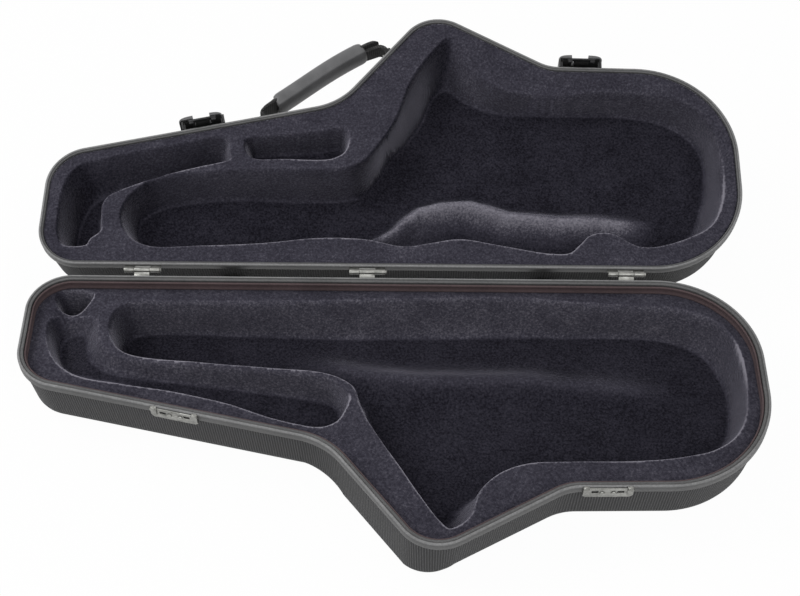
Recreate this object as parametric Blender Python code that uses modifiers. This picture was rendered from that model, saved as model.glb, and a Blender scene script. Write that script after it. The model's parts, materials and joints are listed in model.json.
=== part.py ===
"""Shaped case for an alto saxophone, modelled open.

The case is two deep half shells with one outline: narrow at the neck end, wide at the bell
end, with a pointed lobe at the front for the bell's rim.  Each half has a moulded rim, a
lining of foam with pockets, and feet on the spine.  Three pin hinges join the halves, two
draw latches on the lid catch keepers on the base, and a padded handle swings on the lid.

Frame: metres, +Z up, X along the spine, origin on the flat bottom of the base.  Every half is
modelled in its rim frame: z is 0 at the rim, y is 0 at the spine and negative to the front.
"""
import math

import bmesh
import bpy
from mathutils import Matrix, Vector

# Overall sizes
CASE_LENGTH = 0.650
CASE_WIDTH = 0.272
HALF_DEPTH = 0.069
SPINE_Y = 0.118
SEAM_GAP = 0.0006
OPEN_ANGLE = math.radians(166.7)
FIT_GAP = 0.0003
CUT_OVERRUN = 0.004

# Shell walls
WALL_DRAFT = math.radians(6.0)
WALL_THICKNESS = 0.0022
WALL_INSET = 0.0013
EDGE_RADIUS = 0.022
EDGE_STEPS = 5
ARC_STEP = math.radians(11.0)
SHELL_TOP = 0.0016
LEAST_CORNER_SHARE = 0.9

# Rim moulding
RIM_LEG = 0.0009
RIM_OUTER_HEIGHT = 0.0080
RIM_INNER_HEIGHT = 0.0056
RIM_CROWN = 0.0012
RIM_ROUND = 0.0007

# Gasket inside the base's rim
GASKET_THICKNESS = 0.0018
GASKET_TOP = 0.0024
GASKET_BOTTOM = 0.0113

# Linings
BASE_LINING_TOP = 0.0118
LID_LINING_TOP = 0.0030
FLOOR_THICKNESS = 0.0150
LINING_FLOOR = HALF_DEPTH - FLOOR_THICKNESS
LINING_LIP = 0.0030
LINING_LIP_DEPTH = 0.0045
POCKET_SLOPE = 0.0085
SLOPE_BREAK_SHARE = 0.75
TRAY_FLOOR = 0.0420
TRAY_SLOPE = 0.0065
NECK_FLOOR = 0.0360
SMALL_FLOOR = 0.0300
SMALL_SLOPE = 0.0035
SWELL_TOP = 0.0150
SWELL_SLOPE = 0.0100

# Hinges on the spine
HINGE_OFFSET = 0.0057
HINGE_LENGTH = 0.0320
HINGE_MIDDLE = 0.0140
KNUCKLE_RADIUS = 0.0023
PIN_RADIUS = 0.0010
PIN_HEAD_RADIUS = 0.0017
PIN_HEAD_LENGTH = 0.0012
LEAF_THICKNESS = 0.0012
LEAF_TOP = 0.0024
KNUCKLE_GAP = 0.0004
ROUND_SIDES = 16

# Feet on the spine walls
FOOT_DEPTH = 0.0420
FOOT_ROOT_RADIUS = 0.0120
FOOT_TIP_RADIUS = 0.0095
FOOT_SIDES = 24
FOOT_EDGE = 0.0012

# Latches on the lid
LATCH_HALF_WIDTH = 0.0205
LATCH_TOP = 0.0340
LATCH_FRONT = 0.0130
LATCH_WALL = 0.0017
LATCH_BACK_OUT = 0.0022
LATCH_LOWER_END = 0.0032
LATCH_BACK_SHARE = 0.75
LATCH_WINDOW_HALF_WIDTH = 0.0079
PLATE_HALF_WIDTH = 0.0150
PLATE_TOP = 0.0300
PLATE_BOTTOM = 0.0034
PLATE_FACE = 0.0018
EAR_THICKNESS = 0.0014
EAR_RADIUS = 0.0034
LEVER_AXIS_OUT = 0.0064
LEVER_AXIS_UP = 0.0070
TRUNNION_RADIUS = 0.0014
CLAW_AXIS_OUT = 0.0054
CLAW_AXIS_UP = 0.0150
CLAW_HALF_WIDTH = 0.0072
CLAW_BAR_HALF_WIDTH = 0.0130
CLAW_BAR_TOP = 0.0035
CLAW_THICKNESS = 0.0012
CLAW_EYE_RADIUS = 0.0024
CLAW_PIN_RADIUS = 0.0011
CLAW_REACH = 0.0062
CLAW_FACE_OUT = 0.0033
FINGER_HALF_WIDTH = 0.0020
FINGER_HEIGHT = 0.0022
FINGER_TIP_OUT = 0.0007

# Keepers on the base
KEEPER_HALF_WIDTH = 0.0205
KEEPER_HEIGHT = 0.0130
KEEPER_THICKNESS = 0.0013
KEEPER_EAR_WIDTH = 0.0050
KEEPER_EAR_OUT = 0.0030
KEEPER_EAR_RISE = 0.0018
KEEPER_TOP = 0.0008
KEEPER_EAR_LOW_SHARES = (0.60, 0.80)
KEEPER_RIVET_SHARE = 0.55
SLOT_OFFSET = 0.0105
SLOT_HALF_WIDTH = 0.0028
SLOT_HEIGHT = 0.0034

# Rivets
RIVET_RADIUS = 0.0024
RIVET_HEAD = 0.0010
RIVET_OFFSET = 0.0048
RIVET_SIDES = 14
DOME_STEPS = 3

# Handle
HANDLE_DEPTH = 0.0290
HANDLE_AXIS_OUT = 0.0090
ANCHOR_HALF_LENGTH = 0.0150
ANCHOR_HALF_HEIGHT = 0.0125
ANCHOR_PLATE = 0.0032
ANCHOR_EAR = 0.0024
ANCHOR_EAR_RADIUS = 0.0068
HANDLE_PIN_RADIUS = 0.0020
HANDLE_PIN_HEAD_RADIUS = 0.0032
HANDLE_PIN_HEAD = 0.0016
STRAP_HALF_WIDTH = 0.0080
STRAP_THICKNESS = 0.0036
STRAP_LEG = 0.0036
STRAP_EYE_RADIUS = 0.0086
STRAP_EYE_THICKNESS = 0.0042
STRAP_BEND = 0.0070
HANDLE_BOW = 0.0090
GRIP_LENGTH = 0.1040
GRIP_HALF_THICKNESS = 0.0092
GRIP_HALF_HEIGHT = 0.0120
GRIP_SIDES = 18
GRIP_STEPS = 12
BEND_STEPS = 5
GRIP_END_SHARES = (0.0, 0.012, 0.05)
GRIP_END_SIZE_SHARES = (0.90, 0.97, 1.0)
ANCHOR_RIVET_OFFSET = 0.0108

# Case outline, counter-clockwise from the back left: x in case lengths, y and radius in widths
OUTLINE_SHARES = (
    (-0.501, 0.000, 0.140),
    (-0.498, -0.4228, 0.154),
    (-0.083, -0.643, 0.228),
    (0.0492, -1.040, 0.140),
    (0.2277, -0.7995, 0.149),
    (0.498, -0.7868, 0.349),
    (0.498, 0.000, 0.318),
)
FRONT_LEFT_INDEX = 1
DIAGONAL_INDEX = 2
FRONT_RIGHT_INDEX = 4
HINGE_SHARES = (-0.348, -0.0345, 0.325)
FOOT_SHARES = (-0.230, 0.215)
BLOCK_END_SHARES = (-0.5, -0.165, 0.160, 0.5)
BLOCK_NAMES = ("left", "middle", "right")
LATCH_PLACE_SHARES = (("left", FRONT_LEFT_INDEX, -0.278), ("right", FRONT_RIGHT_INDEX, 0.2755))
HANDLE_PLACE_SHARES = (("left", FRONT_LEFT_INDEX, -0.190), ("right", DIAGONAL_INDEX, -0.0015))

# Pockets in the linings, in the same units as the outline
BASE_BODY_POCKET_SHARES = (
    (-0.392, -0.055, 0.055),
    (-0.383, -0.294, 0.078),
    (-0.055, -0.366, 0.070),
    (0.0755, -0.949, 0.040),
    (0.108, -0.912, 0.040),
    (0.118, -0.695, 0.110),
    (0.476, -0.688, 0.225),
    (0.476, -0.055, 0.225),
)
BASE_TRAY_SHARES = (
    (-0.471, -0.105, 0.040),
    (-0.466, -0.360, 0.080),
    (-0.055, -0.582, 0.055),
    (-0.068, -0.415, 0.045),
    (-0.404, -0.338, 0.045),
    (-0.404, -0.105, 0.040),
)
LID_BODY_POCKET_SHARES = (
    (-0.390, -0.075, 0.055),
    (-0.390, -0.236, 0.050),
    (-0.230, -0.368, 0.110),
    (-0.062, -0.392, 0.070),
    (0.0755, -0.949, 0.040),
    (0.108, -0.912, 0.040),
    (0.118, -0.695, 0.110),
    (0.476, -0.688, 0.225),
    (0.476, -0.080, 0.225),
)
LID_NECK_POCKET_SHARES = (
    (-0.472, -0.075, 0.028),
    (-0.470, -0.382, 0.088),
    (-0.242, -0.504, 0.028),
    (-0.237, -0.414, 0.026),
    (-0.414, -0.266, 0.045),
    (-0.414, -0.075, 0.028),
)
LID_SMALL_POCKET_SHARES = (
    (-0.212, -0.420, 0.035),
    (-0.221, -0.506, 0.024),
    (-0.065, -0.540, 0.024),
    (-0.068, -0.446, 0.030),
)
LID_SWELL_SHARES = (
    (-0.010, -0.070, 0.045),
    (0.020, -0.300, 0.080),
    (0.150, -0.300, 0.080),
    (0.185, -0.070, 0.045),
)

# Colours and surfaces: base colour, roughness, metallic
FINISHES = {
    "shell_fabric": ((0.085, 0.085, 0.090), 0.85, 0.0),
    "rim_rubber": ((0.150, 0.150, 0.152), 0.60, 0.0),
    "gasket_rubber": ((0.075, 0.045, 0.046), 0.75, 0.0),
    "plush": ((0.045, 0.042, 0.062), 0.95, 0.0),
    "bright_nickel": ((0.72, 0.72, 0.70), 0.22, 1.0),
    "black_steel": ((0.030, 0.030, 0.032), 0.42, 1.0),
    "black_plastic": ((0.018, 0.018, 0.019), 0.38, 0.0),
    "foot_rubber": ((0.022, 0.022, 0.022), 0.80, 0.0),
    "grip_leather": ((0.170, 0.170, 0.175), 0.50, 0.0),
    "webbing": ((0.030, 0.030, 0.032), 0.90, 0.0),
}


def clear_scene():
    for item in list(bpy.data.objects):
        bpy.data.objects.remove(item, do_unlink=True)


def make_collection(name):
    group = bpy.data.collections.new(name)
    bpy.context.scene.collection.children.link(group)
    return group


def make_material(name):
    colour, roughness, metallic = FINISHES[name]
    material = bpy.data.materials.new(name)
    material.use_nodes = True
    shader = material.node_tree.nodes["Principled BSDF"]
    shader.inputs["Base Color"].default_value = (*colour, 1.0)
    shader.inputs["Roughness"].default_value = roughness
    shader.inputs["Metallic"].default_value = metallic
    material.diffuse_color = (*colour, 1.0)
    return material


def make_empty(name, location, parent=None):
    holder = bpy.data.objects.new(name, None)
    case_group.objects.link(holder)
    holder.location = location
    holder.parent = parent
    return holder


def finish_mesh(name, mesh, finish, parent, smooth_angle=math.radians(35.0)):
    """Turn a bmesh into a named object of the case, or into a cutter when finish is None."""
    bmesh.ops.recalc_face_normals(mesh, faces=mesh.faces)
    data = bpy.data.meshes.new(name)
    mesh.to_mesh(data)
    mesh.free()
    piece = bpy.data.objects.new(name, data)
    piece.parent = parent
    if finish is None:
        cutter_group.objects.link(piece)
        piece.hide_render = True
        piece.display_type = "WIRE"
    else:
        case_group.objects.link(piece)
        data.materials.append(materials[finish])
        data.shade_smooth()
        data.set_sharp_from_angle(angle=smooth_angle)
    return piece


def combine(piece, tool, operation):
    modifier = piece.modifiers.new(operation.lower(), "BOOLEAN")
    modifier.operation = operation
    modifier.solver = "EXACT"
    modifier.object = tool


def case_corners(shares):
    """Corner points and radii of an outline that is written in shares of the case."""
    return [(Vector((x * CASE_LENGTH, y * CASE_WIDTH)), r * CASE_WIDTH) for x, y, r in shares]


def rounded_outline(shares, inset=0.0):
    """Closed outline with an arc at each corner, moved inwards by inset on shared arc centres."""
    corners = case_corners(shares)
    points = []
    for index, (corner, radius) in enumerate(corners):
        before = (corner - corners[index - 1][0]).normalized()
        after = (corners[(index + 1) % len(corners)][0] - corner).normalized()
        turn = math.atan2(before.cross(after), before.dot(after))
        side = 1.0 if turn > 0.0 else -1.0
        reach = radius * math.tan(abs(turn) / 2.0)
        normal = Vector((-before.y, before.x)) * side
        centre = corner - before * reach + normal * radius
        steps = max(3, round(abs(turn) / ARC_STEP))
        spoke = -normal * (radius - side * inset)
        for step in range(steps + 1):
            angle = turn * step / steps
            cosine, sine = math.cos(angle), math.sin(angle)
            turned = Vector((spoke.x * cosine - spoke.y * sine, spoke.x * sine + spoke.y * cosine))
            points.append(centre + turned)
    return points


def edge_place(edge, x):
    """Point on a straight edge of the case outline at x, with the edge's direction."""
    corners = case_corners(OUTLINE_SHARES)
    start, end = corners[edge][0], corners[edge + 1][0]
    share = (x - start.x) / (end.x - start.x)
    return start.lerp(end, share), (end - start).normalized()


def loft(name, shares, sections, finish, parent, closed_section=False):
    """Join insets of one outline into a body; sections holds (inset, z) from end to end."""
    mesh = bmesh.new()
    rings = []
    for inset, z in sections:
        rings.append([mesh.verts.new((p.x, p.y, z)) for p in rounded_outline(shares, inset)])
    pairs = list(zip(rings, rings[1:]))
    if closed_section:
        pairs.append((rings[-1], rings[0]))
    for lower, upper in pairs:
        count = len(lower)
        for i in range(count):
            j = (i + 1) % count
            mesh.faces.new((lower[i], lower[j], upper[j], upper[i]))
    if not closed_section:
        mesh.faces.new(rings[0])
        mesh.faces.new(rings[-1])
    return finish_mesh(name, mesh, finish, parent)


def extrude_outline(name, points, low, high, axis, finish, parent):
    """Flat outline pulled along X or Y; points hold the two other coordinates in order."""
    mesh = bmesh.new()
    if axis == "X":
        verts = [mesh.verts.new((low, a, b)) for a, b in points]
        step = Vector((high - low, 0.0, 0.0))
    else:
        verts = [mesh.verts.new((a, low, b)) for a, b in points]
        step = Vector((0.0, high - low, 0.0))
    face = mesh.faces.new(verts)
    pulled = bmesh.ops.extrude_face_region(mesh, geom=[face])["geom"]
    bmesh.ops.translate(mesh, vec=step, verts=[v for v in pulled if isinstance(v, bmesh.types.BMVert)])
    return finish_mesh(name, mesh, finish, parent)


def box(name, low, high, finish, parent, bevel=0.0):
    mesh = bmesh.new()
    bmesh.ops.create_cube(mesh, size=1.0)
    low, high = Vector(low), Vector(high)
    size = high - low
    bmesh.ops.scale(mesh, vec=size, verts=mesh.verts)
    bmesh.ops.translate(mesh, vec=(low + high) / 2.0, verts=mesh.verts)
    if bevel:
        bmesh.ops.bevel(mesh, geom=mesh.edges[:], offset=bevel, segments=2, profile=0.5, affect="EDGES")
    return finish_mesh(name, mesh, finish, parent)


def rod(name, centre, radii, length, axis, finish, parent, sides=ROUND_SIDES):
    """Cylinder or cone frustum centred at centre, along axis, with its two end radii."""
    mesh = bmesh.new()
    turn = Vector((0.0, 0.0, 1.0)).rotation_difference(Vector(axis)).to_matrix().to_4x4()
    bmesh.ops.create_cone(
        mesh, cap_ends=True, segments=sides, radius1=radii[0], radius2=radii[1],
        depth=length, matrix=Matrix.Translation(centre) @ turn)
    return finish_mesh(name, mesh, finish, parent)


def turned(name, profile, origin, axis, finish, parent, sides):
    """Solid of revolution: profile holds (radius, height) from the top down its outer side."""
    mesh = bmesh.new()
    verts = [mesh.verts.new((radius, 0.0, height)) for radius, height in profile]
    for pair in zip(verts, verts[1:]):
        mesh.edges.new(pair)
    piece = finish_mesh(name, mesh, finish, parent)
    piece.location = origin
    piece.rotation_euler = Vector((0.0, 0.0, 1.0)).rotation_difference(Vector(axis)).to_euler()
    screw = piece.modifiers.new("screw", "SCREW")
    screw.axis = "Z"
    screw.angle = math.tau
    screw.steps = screw.render_steps = sides
    screw.use_merge_vertices = True
    screw.merge_threshold = FIT_GAP / 10.0
    screw.use_smooth_shade = True
    return piece


def rivet(name, seat, axis, parent, radius=RIVET_RADIUS, head=RIVET_HEAD, finish="bright_nickel"):
    """Low domed rivet head on a flat seat."""
    dome = [(radius * math.sin(a), head * math.cos(a))
            for a in (math.pi / 2.0 * step / DOME_STEPS for step in range(1, DOME_STEPS + 1))]
    return turned(name, [(0.0, head)] + dome + [(0.0, 0.0)], seat, axis, finish, parent, RIVET_SIDES)


def edge_radius():
    """Bottom edge radius, limited by the tightest outward corner that it runs round."""
    corners = case_corners(OUTLINE_SHARES)
    room = []
    for index, (corner, radius) in enumerate(corners):
        before = corner - corners[index - 1][0]
        after = corners[(index + 1) % len(corners)][0] - corner
        if before.cross(after) > 0.0:
            room.append(radius * LEAST_CORNER_SHARE - WALL_INSET - HALF_DEPTH * math.tan(WALL_DRAFT))
    return min(EDGE_RADIUS, *room)


def wall_inset(depth, offset=0.0):
    """How far the drafted wall stands inside the outline at a depth, offset inwards."""
    return WALL_INSET + depth * math.tan(WALL_DRAFT) + offset / math.cos(WALL_DRAFT)


def wall_profile(top, offset=0.0):
    """Section of a half from its top down the wall and round the bottom edge: (inset, depth)."""
    radius = edge_radius()
    centre_depth = HALF_DEPTH - radius
    centre_inset = wall_inset(centre_depth, radius)
    section = [(wall_inset(top, offset), top)]
    for step in range(EDGE_STEPS + 1):
        angle = WALL_DRAFT + (math.pi / 2.0 - WALL_DRAFT) * step / EDGE_STEPS
        section.append((centre_inset - (radius - offset) * math.cos(angle),
                        centre_depth + (radius - offset) * math.sin(angle)))
    return section


def rim_width():
    return wall_inset(RIM_INNER_HEIGHT, WALL_THICKNESS) + FIT_GAP + RIM_LEG


def make_shell(half, sign, parent):
    outer = wall_profile(SHELL_TOP)
    inner = wall_profile(SHELL_TOP, WALL_THICKNESS)
    sections = [(inset, sign * depth) for inset, depth in reversed(inner)]
    sections += [(inset, sign * depth) for inset, depth in outer]
    return loft(half + "_shell", OUTLINE_SHARES, sections, "shell_fabric", parent)


def make_rim(half, sign, parent):
    """Channel moulding that caps the shell's edge, swept round the outline."""
    width = rim_width()
    inner_leg = width - RIM_LEG
    section = [
        (0.0, RIM_OUTER_HEIGHT),
        (0.0, RIM_ROUND),
        (RIM_ROUND, 0.0),
        (width - RIM_ROUND, 0.0),
        (width, RIM_ROUND),
        (width, RIM_INNER_HEIGHT),
        (inner_leg, RIM_INNER_HEIGHT),
        (inner_leg, RIM_CROWN),
        (RIM_LEG, RIM_CROWN),
        (RIM_LEG, RIM_OUTER_HEIGHT),
    ]
    sections = [(inset, sign * depth) for inset, depth in section]
    rim = loft(half + "_rim", OUTLINE_SHARES, sections, "rim_rubber", parent, closed_section=True)
    notch_half = HINGE_LENGTH / 2.0 + FIT_GAP
    for number, share in enumerate(HINGE_SHARES, 1):
        x = share * CASE_LENGTH
        depths = sorted((sign * (LEAF_TOP - FIT_GAP), sign * (RIM_OUTER_HEIGHT + CUT_OVERRUN)))
        notch = box(f"cut_{half}_rim_notch_{number}",
                    (x - notch_half, -RIM_LEG - FIT_GAP, depths[0]),
                    (x + notch_half, CUT_OVERRUN, depths[1]), None, parent)
        combine(rim, notch, "DIFFERENCE")
    return rim


def make_gasket(parent):
    inner = rim_width() + FIT_GAP
    section = [(inner, GASKET_TOP), (inner + GASKET_THICKNESS, GASKET_TOP),
               (inner + GASKET_THICKNESS, GASKET_BOTTOM), (inner, GASKET_BOTTOM)]
    sections = [(inset, -depth) for inset, depth in section]
    return loft("base_gasket", OUTLINE_SHARES, sections, "gasket_rubber", parent, closed_section=True)


def pocket_cutter(name, shares, sign, top, floor, slope, parent):
    """Tapered pocket with an eased lip, cut from above the lining's top to the floor."""
    lip_end = top + LINING_LIP_DEPTH
    sections = [
        (-LINING_LIP, sign * (top - CUT_OVERRUN)),
        (-LINING_LIP, sign * top),
        (0.0, sign * lip_end),
        (slope / 2.0, sign * (lip_end + (floor - lip_end) * SLOPE_BREAK_SHARE)),
        (slope, sign * floor),
    ]
    return loft(name, shares, sections, None, parent)


def make_lining(name, sign, top, parent):
    """Foam block that fills the shell up to its top, before the pockets are cut."""
    clearance = WALL_THICKNESS + FIT_GAP
    least = rim_width() + FIT_GAP
    section = [(least, top)]
    for inset, depth in wall_profile(top, clearance)[1:]:
        if section[-1][1] == top and wall_inset(depth, clearance) > least:
            meet = (least - wall_inset(0.0, clearance)) / math.tan(WALL_DRAFT)
            if top < meet < depth:
                section.append((least, meet))
        section.append((max(inset, least), depth))
    sections = [(inset, sign * depth) for inset, depth in section]
    return loft(name, OUTLINE_SHARES, sections, "plush", parent)


def make_base_lining(parent):
    """Three foam blocks side by side under one cover, with the pockets cut across them."""
    body = pocket_cutter("cut_base_body", BASE_BODY_POCKET_SHARES, -1.0, BASE_LINING_TOP,
                         LINING_FLOOR, POCKET_SLOPE, parent)
    tray = pocket_cutter("cut_base_tray", BASE_TRAY_SHARES, -1.0, BASE_LINING_TOP,
                         TRAY_FLOOR, TRAY_SLOPE, parent)
    ends = [share * CASE_LENGTH for share in BLOCK_END_SHARES]
    for name, start, stop in zip(BLOCK_NAMES, ends, ends[1:]):
        block = make_lining(f"base_lining_{name}", -1.0, BASE_LINING_TOP, parent)
        space = box(f"space_base_lining_{name}", (start + FIT_GAP / 2.0, -CASE_LENGTH, -HALF_DEPTH),
                    (stop - FIT_GAP / 2.0, 0.0, 0.0), None, parent)
        combine(block, body, "DIFFERENCE")
        combine(block, tray, "DIFFERENCE")
        combine(block, space, "INTERSECT")


def make_lid_lining(parent):
    lining = make_lining("lid_lining", 1.0, LID_LINING_TOP, parent)
    pockets = (
        ("cut_lid_body", LID_BODY_POCKET_SHARES, LINING_FLOOR, POCKET_SLOPE),
        ("cut_lid_neck", LID_NECK_POCKET_SHARES, NECK_FLOOR, SMALL_SLOPE),
        ("cut_lid_small", LID_SMALL_POCKET_SHARES, SMALL_FLOOR, SMALL_SLOPE),
    )
    for name, shares, floor, slope in pockets:
        cutter = pocket_cutter(name, shares, 1.0, LID_LINING_TOP, floor, slope, parent)
        combine(lining, cutter, "DIFFERENCE")
    sections = [(SWELL_SLOPE, SWELL_TOP), (SWELL_SLOPE / 2.0, SWELL_TOP + SWELL_SLOPE / 4.0),
                (0.0, SWELL_TOP + SWELL_SLOPE), (0.0, LINING_FLOOR + LINING_LIP)]
    swell = loft("add_lid_swell", LID_SWELL_SHARES, sections, None, parent)
    combine(lining, swell, "UNION")
    return lining


def knuckle(name, low, high, sign, finish, parent):
    """Rolled knuckle with the bent neck that joins it to its leaf."""
    centre = Vector(((low + high) / 2.0, HINGE_OFFSET, -sign * SEAM_GAP / 2.0))
    length = high - low
    barrel = rod(name, centre, (KNUCKLE_RADIUS, KNUCKLE_RADIUS), length, (1, 0, 0), finish, parent)
    outline = [(HINGE_OFFSET - KNUCKLE_RADIUS / 2.0, 0.0), (HINGE_OFFSET, LEAF_TOP),
               (-LEAF_THICKNESS / 2.0, LEAF_TOP + 2.0 * LEAF_THICKNESS), (-LEAF_THICKNESS / 2.0, LEAF_TOP),
               (FIT_GAP, LEAF_TOP)]
    neck = extrude_outline(name + "_neck", [(y, sign * depth) for y, depth in outline],
                           low, high, "X", None, parent)
    combine(barrel, neck, "UNION")
    return barrel


def make_hinge_leaf(name, x, spans, sign, parent):
    """Leaf in the rim's notch with its knuckles and the bore for the pin."""
    half = HINGE_LENGTH / 2.0
    depths = sorted((sign * LEAF_TOP, sign * RIM_OUTER_HEIGHT))
    leaf = box(name, (x - half, -LEAF_THICKNESS, depths[0]), (x + half, 0.0, depths[1]),
               "bright_nickel", parent)
    for number, (low, high) in enumerate(spans, 1):
        part = knuckle(f"add_{name}_knuckle_{number}", x + low, x + high, sign, None, parent)
        combine(leaf, part, "UNION")
    bore = rod(f"cut_{name}_bore", (x, HINGE_OFFSET, -sign * SEAM_GAP / 2.0),
               (PIN_RADIUS + FIT_GAP,) * 2, HINGE_LENGTH + CUT_OVERRUN, (1, 0, 0), None, parent)
    combine(leaf, bore, "DIFFERENCE")
    return leaf


def make_hinges(base, lid):
    half, middle = HINGE_LENGTH / 2.0, HINGE_MIDDLE / 2.0
    centre_span = [(-middle + KNUCKLE_GAP / 2.0, middle - KNUCKLE_GAP / 2.0)]
    end_spans = [(-half, -middle - KNUCKLE_GAP / 2.0), (middle + KNUCKLE_GAP / 2.0, half)]
    names = ("left", "middle", "right")
    for name, share in zip(names, HINGE_SHARES):
        x = share * CASE_LENGTH
        make_hinge_leaf(f"hinge_base_leaf_{name}", x, centre_span, -1.0, base)
        make_hinge_leaf(f"hinge_lid_leaf_{name}", x, end_spans, 1.0, lid)
        axis_z = SEAM_GAP / 2.0
        end = half + FIT_GAP + PIN_HEAD_LENGTH
        pin = rod(f"hinge_pin_{name}", (x + (end - half) / 2.0, HINGE_OFFSET, axis_z),
                  (PIN_RADIUS,) * 2, half + end - PIN_HEAD_LENGTH / 2.0, (1, 0, 0),
                  "bright_nickel", base)
        head = rod(f"add_hinge_pin_head_{name}", (x + end - PIN_HEAD_LENGTH / 2.0, HINGE_OFFSET, axis_z),
                   (PIN_HEAD_RADIUS,) * 2, PIN_HEAD_LENGTH, (1, 0, 0), None, base)
        combine(pin, head, "UNION")


def make_feet(half, sign, parent):
    """Rubber feet on the spine wall; a pair of them meets when the lid is fully open."""
    rise = math.tan((math.pi - OPEN_ANGLE) / 2.0) * (FOOT_DEPTH - FOOT_TIP_RADIUS)
    tip = HINGE_OFFSET + rise - FIT_GAP
    root_gap = FIT_GAP / math.cos(WALL_DRAFT)
    for side, share in zip(("left", "right"), FOOT_SHARES):
        x = share * CASE_LENGTH
        seat = -wall_inset(FOOT_DEPTH + FOOT_ROOT_RADIUS)
        height = tip - seat
        profile = [(0.0, height), (FOOT_TIP_RADIUS - FOOT_EDGE / 2.0, height),
                   (FOOT_TIP_RADIUS + FOOT_EDGE / 2.0, height - FOOT_EDGE),
                   (FOOT_ROOT_RADIUS, 0.0), (0.0, 0.0)]
        foot = turned(f"{half}_foot_{side}", profile, (x, seat, sign * FOOT_DEPTH), (0, 1, 0),
                      "foot_rubber", parent, FOOT_SIDES)
        low, high = FOOT_DEPTH - 2.0 * FOOT_ROOT_RADIUS, FOOT_DEPTH + 2.0 * FOOT_ROOT_RADIUS
        wall = extrude_outline(
            f"cut_{half}_foot_{side}",
            [(-wall_inset(low) + root_gap, sign * low), (-wall_inset(high) + root_gap, sign * high),
             (seat - CUT_OVERRUN, sign * high), (seat - CUT_OVERRUN, sign * low)],
            x - 2.0 * FOOT_ROOT_RADIUS, x + 2.0 * FOOT_ROOT_RADIUS, "X", None, parent)
        combine(foot, wall, "DIFFERENCE")


def make_place(name, edge, share, parent, height=0.0):
    """Empty on the outline: x along the wall, y into the case, z up with the lid closed."""
    point, along = edge_place(edge, share * CASE_LENGTH)
    holder = make_empty(name, (point.x, point.y, height), parent)
    holder.rotation_euler = (0.0, 0.0, math.atan2(along.y, along.x))
    return holder


def make_keeper(side, place):
    """Pressed plate over the base's rim with a raised ear at each end and two slots."""
    half, ear = KEEPER_HALF_WIDTH, KEEPER_EAR_WIDTH
    back, face = -FIT_GAP, -FIT_GAP - KEEPER_THICKNESS
    bottom = -KEEPER_HEIGHT
    waist = KEEPER_HEIGHT / 6.0
    points = [
        (-half + ear, -KEEPER_TOP), (-half + ear, KEEPER_EAR_RISE), (-half + ear / 4.0, KEEPER_EAR_RISE),
        (-half, KEEPER_EAR_RISE - ear / 4.0), (-half, bottom + waist), (-half + waist, bottom),
        (half - waist, bottom), (half, bottom + waist), (half, KEEPER_EAR_RISE - ear / 4.0),
        (half - ear / 4.0, KEEPER_EAR_RISE), (half - ear, KEEPER_EAR_RISE), (half - ear, -KEEPER_TOP),
    ]
    keeper = extrude_outline(f"keeper_{side}", points, face, back, "Y", "bright_nickel", place)
    for number, mirror in enumerate((-1.0, 1.0), 1):
        inner, outer = sorted((mirror * (half - ear), mirror * half))
        lip = extrude_outline(
            f"add_keeper_{side}_ear_{number}",
            [(-KEEPER_EAR_OUT, bottom * KEEPER_EAR_LOW_SHARES[0]),
             (-KEEPER_EAR_OUT, KEEPER_EAR_RISE - ear / 4.0),
             (-KEEPER_EAR_OUT + ear / 5.0, KEEPER_EAR_RISE), (face + FIT_GAP, KEEPER_EAR_RISE),
             (face + FIT_GAP, bottom * KEEPER_EAR_LOW_SHARES[1])],
            inner, outer, "X", None, place)
        combine(keeper, lip, "UNION")
        x, height = mirror * SLOT_OFFSET, SEAM_GAP - CLAW_REACH
        slot = box(f"cut_keeper_{side}_slot_{number}",
                   (x - SLOT_HALF_WIDTH, face - CUT_OVERRUN, height - SLOT_HEIGHT / 2.0),
                   (x + SLOT_HALF_WIDTH, back + CUT_OVERRUN, height + SLOT_HEIGHT / 2.0), None, place)
        combine(keeper, slot, "DIFFERENCE")
        rivet(f"keeper_{side}_rivet_{number}",
              (mirror * RIVET_OFFSET, face - FIT_GAP, bottom * KEEPER_RIVET_SHARE), (0, -1, 0), place)


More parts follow.
